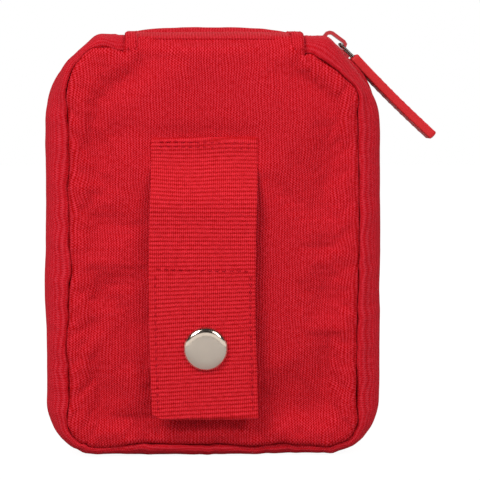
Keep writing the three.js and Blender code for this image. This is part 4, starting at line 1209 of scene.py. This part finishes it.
def bandage(node, look, pitch, weave_depth, layer):
    """A rolled bandage lying across the pouch, with its layers showing at both ends."""
    _, _, centre, (half, _, radius) = box_mm(node)
    turn = np.arange(150) / 150
    end_r = np.linspace(0.3, radius - 0.7, 46)[:, None]
    layers = np.abs(np.sin(math.pi * (end_r / pitch - turn))) ** 0.6
    sink = 0.25 + 0.8 * (1 - layers) + 0.25 * ripple(end_r, turn * 9, 2.5, layer)
    side_x = np.linspace(-half + 0.3, half - 0.3, 120)[:, None]
    step = radius - 0.15 - 0.75 * ((turn + 0.6) % 1.0)
    weave = weave_depth * (np.sin(2 * math.pi * side_x / 1.5 + 3 * ripple(side_x, turn * 40, 9, layer)) - 1)
    side_r = np.minimum(step + weave + 0.3 * ripple(side_x, turn * 60, 12, layer) - 0.2, radius - 0.02)
    end_r = end_r + 0 * turn
    x = np.concatenate([-half + sink, side_x + 0 * turn, (half - sink)[::-1]])
    r = np.concatenate([end_r, side_r, end_r[::-1]])
    a = 2 * math.pi * turn
    grid = joined(x, r * np.cos(a), r * np.sin(a)) + centre
    solid(node + "_roll", grid, look, (x, a * radius), node)


def tape_ring(node, look, inner, outer, grooves, lip):
    """A ring about Y: a roll of tape, with the winding on its sides, or its core."""
    _, _, centre, half = box_mm(node)
    turn = np.arange(180)[:, None] / 180
    radial, wall = np.linspace(0.02, 0.98, 30), np.linspace(0.9, -0.9, 8)
    edge = np.concatenate([radial, 0 * wall + 1, radial[::-1], 0 * wall])
    level = np.concatenate([0 * radial + 1, wall, 0 * radial - 1, -wall])
    r = inner + (outer - inner) * edge
    r = r - np.where(edge > 0.9, grooves * 2.2 * ((turn + 0.12) % 1.0), 0.0)
    wound = grooves * (1 - np.abs(np.sin(math.pi * (r / 0.9 - turn))) ** 0.5) + lip * np.abs(edge - 0.5)
    y = level * (half[1] - 0.02 - np.where(np.abs(level) == 1.0, wound, 0.0))
    a = 2 * math.pi * turn
    grid = joined(r * np.cos(a), y, r * np.sin(a)) + centre
    solid(node + "_ring", grid, look, (y, a * outer), node, loop=True)


def contents():
    crepe = crinkled_look("crepe_cotton", linear(214, 194, 160), scale=0.9, depth=0.35, sheen=0.2,
                          stretch=(3, 0.6, 1))
    gauze = woven_look("gauze_cotton", (226, 223, 214), pitch=1.1, spread=14)
    paper = crinkled_look("sachet_paper", linear(224, 226, 222), 0.75, 0.35, 0.2, contrast=0.03)
    film = crinkled_look("packet_film", linear(70, 118, 196), 0.35, 0.3, 0.4, contrast=0.12)
    foil = crinkled_look("silver_film", linear(206, 210, 214), 0.22, 0.28, 0.7, metallic=0.9)
    tape = moulded_look("cloth_tape", linear(222, 218, 208), roughness=0.7, grain=0.05)
    plastic = moulded_look("white_plastic_core", linear(226, 227, 224), roughness=0.4)
    orange = moulded_look("orange_plastic_grip", linear(208, 96, 30), roughness=0.45, grain=0.06)
    bandage("crepe_bandage", crepe, 1.5, 0.14, 0)
    bandage("gauze_bandage", gauze, 1.2, 0.05, 1)
    tape_ring("tape_core", plastic, 11.2, 13.0, 0.0, 0.25)
    tape_ring("adhesive_tape", tape, 13.3, 21.0, 0.12, 0.0)
    packet("foil_blanket", foil, seal=3, fullness=0.35, crumple=0.25, layer=2)
    packet("gloves_packet", film, seal=4, layer=3)
    packet("stud_patch", BODY_CLOTH, seal=0.4, crimp=0.0, crumple=0.08)
    for kind, count, seal, layer in (("antiseptic_wipe", 2, 5, 0), ("gauze_sachet", 2, 5, 2),
                                     ("plaster", 3, 3, 0)):
        for number in range(count):
            packet(f"{kind}_{number + 1}", paper, seal, layer=layer + number)
    for node in ("scissor_blade_fixed", "scissor_blade_moving", "tweezers"):
        bevelled(node, STEEL, 0.2)
    for node in ("scissor_handle_fixed", "scissor_handle_moving"):
        bevelled(node, orange, 0.8, 4)
    bevelled("scissor_pin", NICKEL, 0.3)
    bevelled("zip_slider", ENAMEL, 0.35, 4)


hems()
zip_topstitching()
strap()
strap_stitching()
snap()
pull_wire()
pull_tab()
sign()
for name, cad_name, side in (("back", "back", -1), ("lid", "front", 1)):
    zip_tape(name + "_zip", side, "zip_tape_" + cad_name)
    zip_coil(name + "_zip", side, "zip_coil_" + cad_name)
    seam_binding(name, side, cad_name + "_seam_binding")
    pocket(name + "_pocket")
contents()


# ---------- set, light and camera ----------


def studio_world():
    """Even white light. Shiny pieces see a grey room with a dark ceiling instead."""
    bpy.context.scene.world = bpy.data.worlds.new("studio")
    n = Nodes(bpy.context.scene.world)
    up = n.add("SeparateXYZ", {0: n.add("TexCoord").outputs["Generated"]}).outputs[2]
    room = n.add("MapRange", {"Value": up, "From Min": 0.2, "From Max": 0.3, "To Min": 0.95, "To Max": 0.03},
                 interpolation_type="SMOOTHSTEP").outputs[0]
    room = n.add("Background", {"Color": (1.0, 0.98, 0.95, 1), "Strength": room})
    even = n.add("Background", {"Color": (1, 1, 1, 1), "Strength": 0.55})
    seen = n.add("Background", {"Color": (1, 1, 1, 1), "Strength": 1.0})
    ray = n.add("LightPath").outputs
    mixed = n.shade(ray["Is Camera Ray"], n.shade(ray["Is Glossy Ray"], even, room), seen)
    n.set(n.tree.nodes["World Output"], "Surface", mixed.outputs[0])


def stage():
    n = material_nodes("floor")
    grey = n.principled(Base_Color=(0.5, 0.5, 0.5, 1), Roughness=0.9, Specular_IOR_Level=0.0)
    glow = n.add("Emission", {"Color": (1, 1, 1, 1), "Strength": 1.2})
    seen = n.times(n.add("LightPath").outputs["Is Camera Ray"], 0.8)
    mixed = n.shade(seen, n.tree.nodes["Principled BSDF"], glow)
    n.set(n.tree.nodes["Material Output"], "Surface", mixed.outputs[0])
    far = 3000
    corners = [[-far, -far, 0], [far, -far, 0], [far, far, 0], [-far, far, 0]]
    piece("floor", corners, [(0, 1, 2, 3)], grey)
    bpy.context.scene.view_settings.view_transform = "Standard"


def placed(name, data, at, direction):
    """An object that looks along a direction."""
    made = bpy.data.objects.new(name, data)
    bpy.context.scene.collection.objects.link(made)
    made.location = at
    made.rotation_mode = "QUATERNION"
    made.rotation_quaternion = direction.to_track_quat("-Z", "Y")
    return made


def lamp(name, at, size, power):
    light = bpy.data.lights.new(name, "AREA")
    light.shape, light.size, light.energy = "DISK", size, power
    placed(name, light, at, Vector((0, 0, HEIGHT * MM / 2)) - Vector(at))


def camera(azimuth, elevation, aim, distance, lens):
    a, e = math.radians(azimuth), math.radians(elevation)
    back = Vector((math.sin(a) * math.cos(e), -math.cos(a) * math.cos(e), math.sin(e)))
    data = bpy.data.cameras.new("camera")
    data.lens = lens
    bpy.context.scene.camera = placed("camera", data, Vector(aim) + back * distance, -back)


studio_world()
stage()
lamp("key", (-0.5, -0.75, 0.75), 0.5, 6.5)
lamp("fill", (0.55, -0.8, 0.6), 0.45, 2.6)
lamp("rim", (0.3, 0.9, 0.7), 0.6, 3.5)
camera(azimuth=-3.0, elevation=4.3, aim=(0.0102, 0, 0.0747), distance=0.65, lens=135)
